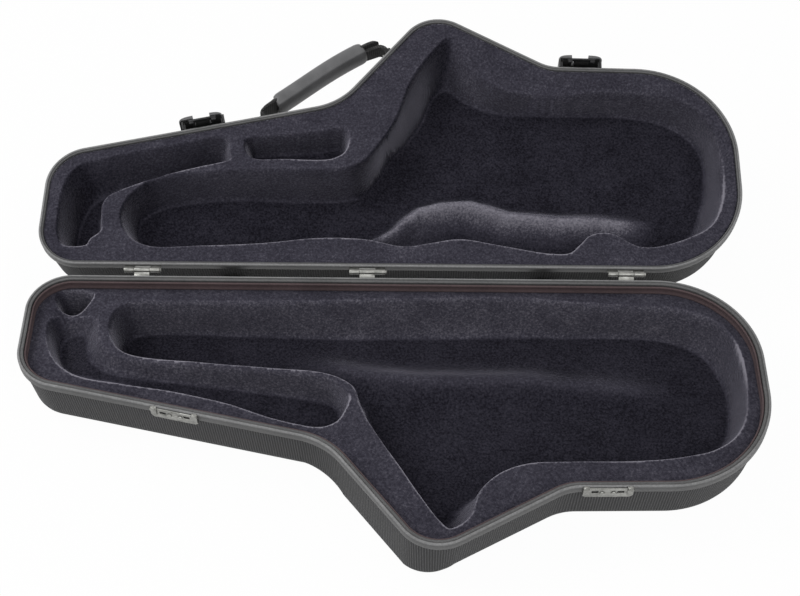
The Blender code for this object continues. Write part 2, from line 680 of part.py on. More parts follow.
def make_latch_plate(side, place):
    """Riveted seat of the latch: a wedge on the drafted wall with an ear at each side."""
    back = [(wall_inset(depth) - FIT_GAP, depth) for depth in (PLATE_TOP, RIM_OUTER_HEIGHT + FIT_GAP)]
    points = [(-PLATE_FACE, PLATE_BOTTOM), (-PLATE_FACE, PLATE_TOP), *back,
              (-FIT_GAP, RIM_OUTER_HEIGHT + FIT_GAP), (-FIT_GAP, PLATE_BOTTOM)]
    wide = LATCH_HALF_WIDTH - LATCH_WALL - FIT_GAP
    plate = extrude_outline(f"latch_plate_{side}", points, -wide, wide, "X", "black_steel", place)
    for number, mirror in enumerate((-1.0, 1.0), 1):
        inner, outer = sorted((mirror * (wide - EAR_THICKNESS), mirror * wide))
        arc = [(-LEVER_AXIS_OUT - EAR_RADIUS * math.sin(a), LEVER_AXIS_UP + EAR_RADIUS * math.cos(a))
               for a in (math.pi * step / 8 for step in range(9))]
        ear = extrude_outline(f"add_latch_ear_{side}_{number}",
                              [(-PLATE_FACE + FIT_GAP, LEVER_AXIS_UP + EAR_RADIUS), *arc,
                               (-PLATE_FACE + FIT_GAP, LEVER_AXIS_UP - EAR_RADIUS)],
                              inner, outer, "X", None, place)
        combine(plate, ear, "UNION")
        end = LATCH_HALF_WIDTH - LATCH_WALL / 4.0
        trunnion = rod(f"add_latch_trunnion_{side}_{number}",
                       (mirror * (wide - EAR_THICKNESS / 2.0 + end) / 2.0, -LEVER_AXIS_OUT, LEVER_AXIS_UP),
                       (TRUNNION_RADIUS,) * 2, end - wide + EAR_THICKNESS / 2.0, (1, 0, 0), None, place)
        combine(plate, trunnion, "UNION")
        rivet(f"latch_rivet_{side}_{number}",
              (mirror * SLOT_OFFSET, -PLATE_FACE - FIT_GAP, PLATE_TOP - 2.0 * RIVET_RADIUS),
              (0, -1, 0), place)


def make_latch_lever(side, pivot):
    """Hollow black lever that covers the mechanism; its frame is the lever's axis."""
    half = LATCH_HALF_WIDTH
    front = LEVER_AXIS_OUT - LATCH_FRONT
    top = LATCH_TOP - LEVER_AXIS_UP
    low = LATCH_LOWER_END - LEVER_AXIS_UP
    back = LEVER_AXIS_OUT - LATCH_BACK_OUT
    ease = LATCH_FRONT / 5.0
    outer = [(back, low), (back, top * LATCH_BACK_SHARE), (back - ease, top), (front + ease, top),
             (front, top - ease), (front, low + ease), (front + ease, low)]
    lever = extrude_outline(f"latch_lever_{side}", outer, -half, half, "X", "black_plastic", pivot)
    inner_half = half - LATCH_WALL
    inner = [(back + CUT_OVERRUN, low - CUT_OVERRUN), (back + CUT_OVERRUN, top - ease - LATCH_WALL),
             (front + ease, top - LATCH_WALL), (front + LATCH_WALL, top - ease),
             (front + LATCH_WALL, low - CUT_OVERRUN)]
    hollow = extrude_outline(f"cut_latch_{side}_hollow", inner, -inner_half, inner_half, "X", None, pivot)
    combine(lever, hollow, "DIFFERENCE")
    window = box(f"cut_latch_{side}_window",
                 (-LATCH_WINDOW_HALF_WIDTH, front - CUT_OVERRUN, low - CUT_OVERRUN),
                 (LATCH_WINDOW_HALF_WIDTH, 0.0, CLAW_AXIS_UP - LEVER_AXIS_UP), None, pivot)
    combine(lever, window, "DIFFERENCE")
    bore = rod(f"cut_latch_{side}_bore", (0.0, 0.0, 0.0), (TRUNNION_RADIUS + FIT_GAP,) * 2,
               2.0 * (half + CUT_OVERRUN), (1, 0, 0), None, pivot)
    combine(lever, bore, "DIFFERENCE")
    claw_axis = (0.0, LEVER_AXIS_OUT - CLAW_AXIS_OUT, CLAW_AXIS_UP - LEVER_AXIS_UP)
    pin_bore = rod(f"cut_latch_{side}_pin_bore", claw_axis, (CLAW_PIN_RADIUS + FIT_GAP,) * 2,
                   2.0 * (half - LATCH_WALL / 3.0), (1, 0, 0), None, pivot)
    combine(lever, pin_bore, "DIFFERENCE")
    rod(f"latch_pin_{side}", claw_axis, (CLAW_PIN_RADIUS,) * 2,
        2.0 * (half - LATCH_WALL / 3.0 - FIT_GAP), (1, 0, 0), "bright_nickel", pivot)
    return claw_axis


def make_latch_claw(side, pivot):
    """Draw plate with a rolled eye and two fingers that enter the keeper's slots."""
    out = CLAW_AXIS_OUT - CLAW_FACE_OUT
    reach = -CLAW_AXIS_UP - CLAW_REACH
    half, thick, root = CLAW_HALF_WIDTH, CLAW_THICKNESS, CLAW_EYE_RADIUS / 2.0
    low, high = reach - FINGER_HEIGHT / 2.0, reach + FINGER_HEIGHT / 2.0
    claw = rod(f"latch_claw_{side}", (0.0, 0.0, 0.0), (CLAW_EYE_RADIUS,) * 2, 2.0 * half, (1, 0, 0),
               "black_steel", pivot)
    plate = extrude_outline(
        f"add_claw_plate_{side}",
        [(-root, 0.0), (out - thick, reach / 2.0), (out - thick, high),
         (out, high), (out, reach / 2.0), (root, 0.0)],
        -half + FIT_GAP, half - FIT_GAP, "X", None, pivot)
    combine(claw, plate, "UNION")
    bar = box(f"add_claw_bar_{side}", (-CLAW_BAR_HALF_WIDTH, out - thick - FIT_GAP, low),
              (CLAW_BAR_HALF_WIDTH, out + FIT_GAP, -CLAW_AXIS_UP - CLAW_BAR_TOP), None, pivot)
    combine(claw, bar, "UNION")
    tip = CLAW_AXIS_OUT - FINGER_TIP_OUT
    for number, mirror in enumerate((-1.0, 1.0), 1):
        x = mirror * SLOT_OFFSET
        finger = box(f"add_claw_finger_{side}_{number}",
                     (x - FINGER_HALF_WIDTH, out - thick / 2.0, low + FIT_GAP),
                     (x + FINGER_HALF_WIDTH, tip, high), None, pivot)
        combine(claw, finger, "UNION")
    bore = rod(f"cut_claw_bore_{side}", (0.0, 0.0, 0.0), (CLAW_PIN_RADIUS + FIT_GAP,) * 2,
               2.0 * (half + CUT_OVERRUN), (1, 0, 0), None, pivot)
    combine(claw, bore, "DIFFERENCE")


def make_latches(base, lid):
    for side, edge, share in LATCH_PLACE_SHARES:
        make_keeper(side, make_place(f"place_keeper_{side}", edge, share, base))
        place = make_place(f"place_latch_{side}", edge, share, lid)
        make_latch_plate(side, place)
        pivot = make_empty(f"axis_latch_{side}", (0.0, -LEVER_AXIS_OUT, LEVER_AXIS_UP), place)
        claw_axis = make_latch_lever(side, pivot)
        make_latch_claw(side, make_empty(f"axis_claw_{side}", claw_axis, pivot))


def handle_points():
    """Pin centres of the handle in the rim frame of the lid."""
    points = []
    for _, edge, share in HANDLE_PLACE_SHARES:
        point, along = edge_place(edge, share * CASE_LENGTH)
        points.append(point + Vector((along.y, -along.x)) * HANDLE_AXIS_OUT)
    return points


def strap_path(span):
    """Centre line of the strap in the handle's frame: out from a pin, round, and across."""
    bend = [(STRAP_BEND * (1.0 - math.cos(a)), STRAP_LEG + STRAP_BEND * math.sin(a))
            for a in (math.pi / 2.0 * step / BEND_STEPS for step in range(BEND_STEPS + 1))]
    leg = [(0.0, 0.0)] + bend
    across = []
    for step in range(1, GRIP_STEPS):
        x = STRAP_BEND + (span - 2.0 * STRAP_BEND) * step / GRIP_STEPS
        across.append((x, strap_height(x, span)))
    return leg + across + [(span - x, v) for x, v in reversed(leg)]


def strap_height(x, span):
    """How far the strap's bowed middle stands out from the handle's axis."""
    share = (x - STRAP_BEND) / (span - 2.0 * STRAP_BEND)
    return STRAP_LEG + STRAP_BEND + HANDLE_BOW * math.sin(math.pi * share)


def sweep_section(name, path, section_at, finish, parent):
    """Loft a closed section square to a path that lies in the handle's x and y."""
    mesh = bmesh.new()
    rings = []
    for index, (x, v) in enumerate(path):
        ahead = path[min(index + 1, len(path) - 1)]
        behind = path[max(index - 1, 0)]
        along = Vector((ahead[0] - behind[0], behind[1] - ahead[1], 0.0)).normalized()
        across = Vector((along.y, -along.x, 0.0))
        rings.append([mesh.verts.new(Vector((x, -v, 0.0)) + across * a + Vector((0.0, 0.0, b)))
                      for a, b in section_at(index)])
    for lower, upper in zip(rings, rings[1:]):
        for i in range(len(lower)):
            j = (i + 1) % len(lower)
            mesh.faces.new((lower[i], lower[j], upper[j], upper[i]))
    mesh.faces.new(rings[0])
    mesh.faces.new(rings[-1])
    return finish_mesh(name, mesh, finish, parent)


def strap_section(grown):
    thin, wide = STRAP_THICKNESS / 2.0 + grown, STRAP_HALF_WIDTH + grown
    return lambda index: [(-thin, -wide), (thin, -wide), (thin, wide), (-thin, wide)]


def make_strap(axis, span):
    """Webbing strap: a round eye at each end turns on its pin."""
    strap = sweep_section("handle_strap", strap_path(span), strap_section(0.0), "webbing", axis)
    for number, x in enumerate((0.0, span), 1):
        eye = rod(f"add_strap_eye_{number}", (x, 0.0, 0.0), (STRAP_EYE_RADIUS,) * 2, STRAP_EYE_THICKNESS,
                  (1, 0, 0), None, axis, GRIP_SIDES)
        combine(strap, eye, "UNION")
    bore = rod("cut_strap_bore", (span / 2.0, 0.0, 0.0), (HANDLE_PIN_RADIUS + FIT_GAP,) * 2,
               span + CUT_OVERRUN * 2.0, (1, 0, 0), None, axis)
    combine(strap, bore, "DIFFERENCE")


def make_grip(axis, span):
    """Padded sleeve, oval in section, bowed with the strap that runs through it."""
    marks = list(GRIP_END_SHARES)
    inner = [step / GRIP_STEPS for step in range(1, GRIP_STEPS)]
    shares = marks + inner + [1.0 - share for share in reversed(marks)]
    sizes = list(GRIP_END_SIZE_SHARES) + [1.0] * len(inner) + list(reversed(GRIP_END_SIZE_SHARES))
    path = []
    for share in shares:
        x = (span - GRIP_LENGTH) / 2.0 + GRIP_LENGTH * share
        path.append((x, strap_height(x, span)))

    def oval(index):
        turns = (math.tau * step / GRIP_SIDES for step in range(GRIP_SIDES))
        return [(GRIP_HALF_THICKNESS * sizes[index] * math.cos(a),
                 GRIP_HALF_HEIGHT * sizes[index] * math.sin(a)) for a in turns]

    grip = sweep_section("handle_grip", path, oval, "grip_leather", axis)
    tunnel = sweep_section("cut_grip_tunnel", strap_path(span), strap_section(FIT_GAP), None, axis)
    combine(grip, tunnel, "DIFFERENCE")


def make_anchor(side, place, axis, x, outward):
    """Riveted plate with one ear that carries the handle's pin; outward is -1 or 1 along X."""
    low, high = HANDLE_DEPTH - ANCHOR_HALF_HEIGHT, HANDLE_DEPTH + ANCHOR_HALF_HEIGHT
    seat_low, seat_high = wall_inset(low) - FIT_GAP, wall_inset(high) - FIT_GAP
    anchor = extrude_outline(
        f"handle_anchor_{side}",
        [(seat_low, low), (seat_low - ANCHOR_PLATE, low), (seat_high - ANCHOR_PLATE, high),
         (seat_high, high)],
        -ANCHOR_HALF_LENGTH, ANCHOR_HALF_LENGTH, "X", "black_steel", place)
    inner_face = x + outward * (STRAP_EYE_THICKNESS / 2.0 + FIT_GAP)
    outer_face = inner_face + outward * ANCHOR_EAR
    skew = abs(axis.rotation_euler.z - place.rotation_euler.z)
    middle = abs((inner_face + outer_face) / 2.0 - x)
    seat = HANDLE_AXIS_OUT + wall_inset(HANDLE_DEPTH) - FIT_GAP - ANCHOR_PLATE / 2.0
    reach = (seat - middle * math.sin(skew)) / math.cos(skew)
    arc = [(-ANCHOR_EAR_RADIUS * math.sin(a), ANCHOR_EAR_RADIUS * math.cos(a))
           for a in (math.pi * step / ROUND_SIDES for step in range(ROUND_SIDES + 1))]
    root = ANCHOR_HALF_HEIGHT - ANCHOR_EAR_RADIUS / 4.0
    ear = extrude_outline(f"add_anchor_ear_{side}", [(reach, root), *arc, (reach, -root)],
                          min(inner_face, outer_face), max(inner_face, outer_face), "X", None, axis)
    combine(anchor, ear, "UNION")
    bore = rod(f"cut_anchor_bore_{side}", ((inner_face + outer_face) / 2.0, 0.0, 0.0),
               (HANDLE_PIN_RADIUS + FIT_GAP,) * 2, ANCHOR_EAR + CUT_OVERRUN, (1, 0, 0), None, axis)
    combine(anchor, bore, "DIFFERENCE")
    inner_end = x - outward * (STRAP_EYE_THICKNESS / 2.0 + FIT_GAP)
    outer_end = outer_face + outward * FIT_GAP
    pin = rod(f"handle_pin_{side}", ((inner_end + outer_end) / 2.0, 0.0, 0.0), (HANDLE_PIN_RADIUS,) * 2,
              abs(outer_end - inner_end) + HANDLE_PIN_HEAD, (1, 0, 0), "bright_nickel", axis)
    for number, (end, way) in enumerate(((inner_end, -outward), (outer_end, outward)), 1):
        head = rod(f"add_handle_pin_{side}_head_{number}", (end + way * HANDLE_PIN_HEAD / 2.0, 0.0, 0.0),
                   (HANDLE_PIN_HEAD_RADIUS,) * 2, HANDLE_PIN_HEAD, (1, 0, 0), None, axis)
        combine(pin, head, "UNION")
    face = wall_inset(HANDLE_DEPTH - RIVET_RADIUS) - FIT_GAP - ANCHOR_PLATE - FIT_GAP
    for number, mirror in enumerate((-1.0, 1.0), 1):
        rivet(f"anchor_rivet_{side}_{number}", (mirror * ANCHOR_RIVET_OFFSET, face, HANDLE_DEPTH),
              (0, -1, 0), place)


def make_handle(lid):
    """Padded grip on a webbing strap whose ends turn on pins in two riveted anchors."""
    left, right = handle_points()
    chord = right - left
    axis = make_empty("axis_handle", (left.x, left.y, HANDLE_DEPTH), lid)
    axis.rotation_euler = (0.0, 0.0, math.atan2(chord.y, chord.x))
    make_strap(axis, chord.length)
    make_grip(axis, chord.length)
    for (side, edge, share), x, outward in zip(HANDLE_PLACE_SHARES, (0.0, chord.length), (-1.0, 1.0)):
        place = make_place(f"place_anchor_{side}", edge, share, lid)
        make_anchor(side, place, axis, x, outward)


def main():
    base = make_empty("base_rim_frame", (0.0, SPINE_Y, HALF_DEPTH))
    hinge = make_empty("axis_lid", (0.0, SPINE_Y + HINGE_OFFSET, HALF_DEPTH + SEAM_GAP / 2.0))
    hinge.rotation_euler = (-OPEN_ANGLE, 0.0, 0.0)
    lid = make_empty("lid_rim_frame", (0.0, -HINGE_OFFSET, SEAM_GAP / 2.0), hinge)
    for half, sign, frame in (("base", -1.0, base), ("lid", 1.0, lid)):
        make_shell(half, sign, frame)
        make_rim(half, sign, frame)
        make_feet(half, sign, frame)
    make_gasket(base)
    make_base_lining(base)
    make_lid_lining(lid)
    make_hinges(base, lid)
    make_latches(base, lid)
    make_handle(lid)


clear_scene()
case_group = make_collection("alto_saxophone_case")
cutter_group = make_collection("cutters")
materials = {name: make_material(name) for name in FINISHES}
main()
bpy.context.view_layer.update()
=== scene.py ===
# %% [markdown]
# # An alto saxophone case, standing open
#
# The real thing is a case in the outline of the instrument: narrow at the neck end, wide at the
# bow end, with a lobe at the front for the bell's rim. Two deep halves in woven cloth close on
# rubber mouldings, and each half is lined with moulded foam under short plush.
#
# The CAD model gives every hard piece its place and its motion. This lesson loads it as a fixed
# frame and then makes each piece that shows look like the real one.

# %% Load the case and measure it
import json
import math

import bmesh
import bpy
import numpy as np
from mathutils import Matrix, Vector
from mathutils.geometry import delaunay_2d_cdt
from mathutils.kdtree import KDTree


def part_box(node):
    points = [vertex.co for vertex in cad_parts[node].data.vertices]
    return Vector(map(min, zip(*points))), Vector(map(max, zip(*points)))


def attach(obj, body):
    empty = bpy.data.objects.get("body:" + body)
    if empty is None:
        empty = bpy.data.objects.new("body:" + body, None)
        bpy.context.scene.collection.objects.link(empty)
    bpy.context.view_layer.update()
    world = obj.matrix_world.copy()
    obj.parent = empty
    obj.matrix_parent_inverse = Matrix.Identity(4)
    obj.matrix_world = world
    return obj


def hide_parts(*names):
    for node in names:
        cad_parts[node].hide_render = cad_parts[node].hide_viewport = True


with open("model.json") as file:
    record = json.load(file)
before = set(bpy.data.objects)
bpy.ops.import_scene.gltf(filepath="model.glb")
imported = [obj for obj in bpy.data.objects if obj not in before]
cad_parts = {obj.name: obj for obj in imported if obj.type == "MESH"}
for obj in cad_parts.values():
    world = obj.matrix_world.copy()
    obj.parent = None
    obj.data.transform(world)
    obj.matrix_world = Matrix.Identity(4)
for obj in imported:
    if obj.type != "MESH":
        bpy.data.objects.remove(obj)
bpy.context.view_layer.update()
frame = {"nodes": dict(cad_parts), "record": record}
MM = 0.001

# %% Helpers for selecting and for placing a new object
def deselect():
    """Leave edit mode and deselect everything, because operators act on all that is selected."""
    if bpy.context.object and bpy.context.object.mode != "OBJECT":
        bpy.ops.object.mode_set(mode="OBJECT")
    bpy.ops.object.select_all(action="DESELECT")


def choose(piece):
    deselect()
    bpy.context.view_layer.objects.active = piece
    piece.select_set(True)


def edit_all(piece):
    """Enter edit mode with everything selected."""
    choose(piece)
    bpy.ops.object.mode_set(mode="EDIT")
    bpy.ops.mesh.select_all(action="SELECT")


def new_object(name, data):
    piece = bpy.data.objects.new(name, data)
    bpy.context.scene.collection.objects.link(piece)
    choose(piece)
    return piece


# %% [markdown]
# ## Camera, floor and light
#
# The photograph looks down at the open case from about 52 degrees above the floor, through a
# lens of 67.5 mm. The floor is pale and plain. What the camera, gloss and glass see of the floor
# and of the sky is white, while the lamps stay at a level where a colour shows about as it is
# written. The main lamp is wide and stands at the left, because walls that face left are the
# bright ones.

# %% Camera, fitted to the photograph
camera_data = bpy.data.cameras.new("camera")
camera_data.sensor_width = 36.0
camera_data.lens = 67.5
camera = new_object("camera", camera_data)
camera.location = (0.01918, -0.73485, 1.11725)
camera.rotation_euler = [math.radians(angle) for angle in (38.345, 0.0475, 0.7375)]
bpy.context.scene.camera = camera
print("camera at", tuple(round(v, 3) for v in camera.location))

# %% Helpers for nodes
def set_inputs(node, values):
    """Set each input to its value, or link it when the value is another node's socket."""
    for key, value in values.items():
        if isinstance(value, bpy.types.NodeSocket):
            node.id_data.links.new(value, node.inputs[key])
        else:
            node.inputs[key].default_value = value


def new_node(near, kind, values):
    """Add a node to the tree of a node or socket that is near it."""
    node = near.id_data.nodes.new("ShaderNode" + kind)
    set_inputs(node, values)
    return node


def combine(first, second, operation="MULTIPLY"):
    node = new_node(first, "Math", {0: first, 1: second})
    node.operation = operation
    return node.outputs[0]


# %% Floor and sky that the camera sees as white
FLOOR_LEVEL = -0.0004
FLOOR_WHITE = 0.97


def white_to_the_eye(shader, strength):
    """Mix in plain white for rays of the camera, gloss and glass."""
    rays = new_node(shader, "LightPath", {}).outputs
    seen = combine(rays["Is Camera Ray"], rays["Is Glossy Ray"], "MAXIMUM")
    seen = combine(seen, rays["Is Transmission Ray"], "MAXIMUM")
    kind = "Background" if shader.type == "BACKGROUND" else "Emission"
    white = new_node(shader, kind, {"Color": (1.0, 1.0, 1.0, 1.0)})
    share = combine(seen, strength)
    return new_node(shader, "MixShader", {0: share, 1: shader.outputs[0], 2: white.outputs[0]})


deselect()
bpy.ops.mesh.primitive_plane_add(size=14.0, location=(0.0, 0.0, FLOOR_LEVEL))
floor = bpy.context.object
floor.name = "floor"
floor_material = bpy.data.materials.new("floor_paint")
floor_material.use_nodes = True
floor_nodes = floor_material.node_tree.nodes
floor_shader = floor_nodes["Principled BSDF"]
set_inputs(floor_shader, {"Base Color": (0.86, 0.86, 0.86, 1.0), "Roughness": 0.95})
floor_mix = white_to_the_eye(floor_shader, FLOOR_WHITE)
set_inputs(floor_nodes["Material Output"], {"Surface": floor_mix.outputs[0]})
floor.data.materials.append(floor_material)

sky = bpy.data.worlds.new("studio")
bpy.context.scene.world = sky
sky.use_nodes = True
soft_sky = sky.node_tree.nodes["Background"]
set_inputs(soft_sky, {"Color": (1.0, 1.0, 1.0, 1.0), "Strength": 0.55})
sky_mix = white_to_the_eye(soft_sky, 1.0)
set_inputs(sky.node_tree.nodes["World Output"], {"Surface": sky_mix.outputs[0]})
print("floor and sky are ready")

# %% Two soft lamps
def add_lamp(name, place, target, width, watts):
    data = bpy.data.lights.new(name, "AREA")
    data.size = width
    data.energy = watts
    lamp = new_object(name, data)
    lamp.location = place
    lamp.rotation_euler = (Vector(target) - Vector(place)).to_track_quat("-Z", "Y").to_euler()


add_lamp("lamp_left", (-1.6, 0.3, 1.8), (0.0, 0.1, 0.0), 1.1, 19.0)
add_lamp("lamp_front", (0.4, -1.6, 2.2), (0.0, 0.1, 0.0), 1.2, 15.0)
bpy.context.scene.view_settings.view_transform = "Standard"

# %% [markdown]
# ## The outline that everything follows
#
# Shells, rims, gasket and linings all run round one outline: straight edges joined by arcs. The
# arcs of every inset share their centres, so a wall keeps its thickness round the corners. Each
# half is drawn in its own rim frame, where x runs along the spine, y is 0 at the spine, and depth
# is 0 at the rim. One matrix for each half puts the points in place.

# %% Outline, wall section and the frames of the two halves
CORNERS = ((-325.65, 0.0, 38.08), (-323.7, -115.0, 41.89), (-53.95, -174.9, 62.02),
           (31.98, -282.88, 38.08), (148.0, -217.46, 40.53), (323.7, -214.01, 94.93),
           (323.7, 0.0, 86.5))
DRAFT = math.radians(6.0)
HALF_DEPTH = 69.0
EDGE_RADIUS = 22.0
WALL_START = 1.3
SHELL_TOP = 1.6
LINING_INSET = {"base": 5.6, "lid": 4.3}
BASE = Matrix(((1, 0, 0, 0), (0, 1, 0, 0.118), (0, 0, -1, 0.069), (0, 0, 0, 1)))
LID = (Matrix.Translation((0, 0.1237, 0.0693)) @ Matrix.Rotation(math.radians(-166.7), 4, "X")
       @ Matrix.Translation((0, -0.0057, 0.0003)))
HALVES = {"base": BASE, "lid": LID}


def corner_spokes(step=math.radians(3.0)):
    """For each point of the arcs: centre, way out, radius, side, corner and share of its turn."""
    spokes = []
    for index, (x, y, radius) in enumerate(CORNERS):
        corner = Vector((x, y))
        before = (corner - Vector(CORNERS[index - 1][:2])).normalized()
        after = (Vector(CORNERS[(index + 1) % len(CORNERS)][:2]) - corner).normalized()
        turn = math.atan2(before.cross(after), before.dot(after))
        side = 1.0 if turn > 0.0 else -1.0
        normal = Vector((-before.y, before.x)) * side
        centre = corner - before * radius * math.tan(abs(turn) / 2.0) + normal * radius
        steps = max(3, round(abs(turn) / step))
        for number in range(steps + 1):
            way = -normal
            way.rotate(Matrix.Rotation(turn * number / steps, 2))
            spokes.append((centre, way, radius, side, index, number / steps))
    return spokes


def outline(inset=0.0, spacing=0.0):
    """Points of the outline in mm, moved inwards by inset; straight edges are cut by spacing."""
    points = [centre + way * (radius - side * inset)
              for centre, way, radius, side, _, _ in corner_spokes()]
    if spacing:
        filled = []
        for a, b in zip(points, points[1:] + points[:1]):
            parts = max(1, round((b - a).length / spacing))
            filled += [a.lerp(b, part / parts) for part in range(parts)]
        points = filled
    return points


def wall_inset(depth, offset=0.0, draft=DRAFT):
    """How far inside the outline the wall is at a depth; offset goes into its thickness."""
    return WALL_START + depth * math.tan(draft) + offset / math.cos(draft)


def wall_section(offset=0.0, draft=DRAFT, radius=EDGE_RADIUS, steps=10):
    """A half's wall from the top down and round its bottom edge, as (inset, depth) in mm."""
    centre_depth = HALF_DEPTH - radius
    centre_inset = wall_inset(centre_depth, radius, draft)
    reach = radius - offset
    section = [(wall_inset(SHELL_TOP, offset, draft), SHELL_TOP)]
    for step in range(steps + 1):
        angle = draft + (math.pi / 2.0 - draft) * step / steps
        section.append((centre_inset - reach * math.cos(angle),
                        centre_depth + reach * math.sin(angle)))
    return section


print("outline points:", len(outline()))
print("wall inset at the bottom:", round(wall_inset(HALF_DEPTH), 2), "mm")

# %% [markdown]
# ## Pulling a ring along a section
#
# A moulding that runs all round is easiest to make as a ring: a circle is added, its points are
# set on the outline, and the ring is extruded once for each point of the moulding's section. Each
# point remembers its number, so the new ring goes to its own place. The same way makes the shells,
# the latch covers, the grip and the webbing. The piece gets a UV map in metres, so that cloth keeps
# its real pitch all the way round.

# %% Ring helper
def pull_ring(name, rings, closed=False):
    """Extrude a circle through rings of points in metres; closed joins the last and first."""
    count = len(rings[0])
    deselect()
    bpy.ops.mesh.primitive_circle_add(vertices=count, fill_type="NOTHING")
    piece = bpy.context.object
    piece.name = piece.data.name = name
    bpy.ops.object.mode_set(mode="EDIT")
    mesh = bmesh.from_edit_mesh(piece.data)
    place, turn = mesh.verts.layers.int.new("place"), mesh.verts.layers.int.new("turn")
    for index, vert in enumerate(mesh.verts):
        vert[place] = index
    for number, ring in enumerate(rings):
        if number:
            bpy.ops.mesh.extrude_region()
            mesh = bmesh.from_edit_mesh(piece.data)
            place, turn = mesh.verts.layers.int["place"], mesh.verts.layers.int["turn"]
        for vert in mesh.verts:
            if vert.select:
                vert.co = ring[vert[place]]
                vert[turn] = number
        bmesh.update_edit_mesh(piece.data)
    add_ring_uv(mesh, rings, closed)
    if closed:
        bmesh.ops.bridge_loops(mesh, edges=[e for e in mesh.edges if e.is_boundary])
    else:
        bmesh.ops.holes_fill(mesh, edges=[e for e in mesh.edges if e.is_boundary])
        uv = mesh.loops.layers.uv.verify()
        ends = [face for face in mesh.faces if len(face.verts) == count]
        for loop in (loop for face in ends for loop in face.loops):
            loop[uv].uv = loop.vert.co.xy
    bmesh.ops.recalc_face_normals(mesh, faces=mesh.faces)
    bmesh.update_edit_mesh(piece.data)
    bpy.ops.object.mode_set(mode="OBJECT")
    return piece


def add_ring_uv(mesh, rings, closed):
    """U runs along the ring and V along the section, both in metres."""
    place, turn = mesh.verts.layers.int["place"], mesh.verts.layers.int["turn"]
    uv = mesh.loops.layers.uv.verify()
    lengths = []
    for ring in rings:
        spots = [Vector(p) for p in ring]
        steps = [(b - a).length for a, b in zip(spots, spots[1:] + spots[:1])]
        lengths.append([0.0] + list(np.cumsum(steps)))
    along = max(lengths, key=lambda row: row[-1])
    down = [0.0]
    for a, b in zip(rings, rings[1:]):
        down.append(down[-1] + (Vector(b[0]) - Vector(a[0])).length)
    for face in mesh.faces:
        wraps = max(v[place] for v in face.verts) - min(v[place] for v in face.verts) > 1
        for loop in face.loops:
            number = loop.vert[place]
            u = along[-1] if wraps and number == 0 else along[number]
            loop[uv].uv = (u, down[loop.vert[turn]])


def outline_rings(half, section):
    """Rings of a half's moulding for each (inset, depth) in mm of its section."""
    return [[HALVES[half] @ Vector((p.x * MM, p.y * MM, depth * MM)) for p in outline(inset)]
            for inset, depth in section]


def smooth(piece, angle):
    choose(piece)
    bpy.ops.object.shade_smooth_by_angle(angle=math.radians(angle))


print("ring helper is ready")

# %% [markdown]
# ## Finishes
#
# Eleven finishes cover the case. Each one is a node material with its own grain: short plush with a
# sheen at grazing angles, brushed patches and painted light and shade, ribbed cloth on the shells,
# speckled rubber on the rims with a painted highlight on the bead, a red brown gasket, drawn
# nickel, black steel, black plastic and a paler copy of it as painted light, rubber feet, the
# grip's leather-like skin and the ridged webbing. Small helpers lay out noise, ribs and bump.

# %% Material helpers
finishes = {}


def new_finish(name, colour, roughness, values):
    """Start a material and return its shader."""
    material = bpy.data.materials.new(name)
    material.use_nodes = True
    shader = material.node_tree.nodes["Principled BSDF"]
    set_inputs(shader, {"Base Color": (*colour, 1.0), "Roughness": roughness, **values})
    finishes[name] = material
    return shader


def place_of(shader, source="Object", scale=(1.0, 1.0, 1.0), turn=(0.0, 0.0, 0.0)):
    """Coordinates of the piece, stretched and turned by a Mapping node."""
    spot = new_node(shader, "TexCoord", {}).outputs[source]
    mapping = {"Vector": spot, "Scale": scale, "Rotation": turn}
    return new_node(shader, "Mapping", mapping).outputs[0]


def grain(place, scale, detail=3.0, roughness=0.55):
    noise = {"Vector": place, "Scale": scale, "Detail": detail, "Roughness": roughness}
    return new_node(place, "TexNoise", noise).outputs["Fac"]


def ribs(place, pitch, direction, distortion=0.0):
    """Bands with a pitch in metres across one direction."""
    bands = {"Vector": place, "Scale": math.tau / 20.0 / pitch, "Distortion": distortion}
    wave = new_node(place, "TexWave", bands)
    wave.bands_direction = direction
    return wave.outputs["Fac"]


def weighted(*parts):
    """Sum of values, each with its weight."""
    total = combine(*parts[0])
    for value, weight in parts[1:]:
        total = combine(total, combine(value, weight), "ADD")
    return total


def colour_range(factor, stops):
    """Colour ramp through (position, colour) stops."""
    ramp = new_node(factor, "ValToRGB", {"Fac": factor})
    while len(ramp.color_ramp.elements) < len(stops):
        ramp.color_ramp.elements.new(0.5)
    for element, (position, colour) in zip(ramp.color_ramp.elements, stops):
        element.position = position
        element.color = (*colour, 1.0)
    return ramp.outputs["Color"]


def level_range(factor, low, high):
    levels = {"Value": factor, "To Min": low, "To Max": high}
    return new_node(factor, "MapRange", levels).outputs["Result"]


def dress(shader, colour, height, distance, strength, **values):
    """Link a colour and a height, with its bump distance in metres, to the shader."""
    bump = new_node(shader, "Bump", {"Height": height, "Distance": distance, "Strength": strength})
    set_inputs(shader, {"Base Color": colour, "Normal": bump.outputs["Normal"], **values})
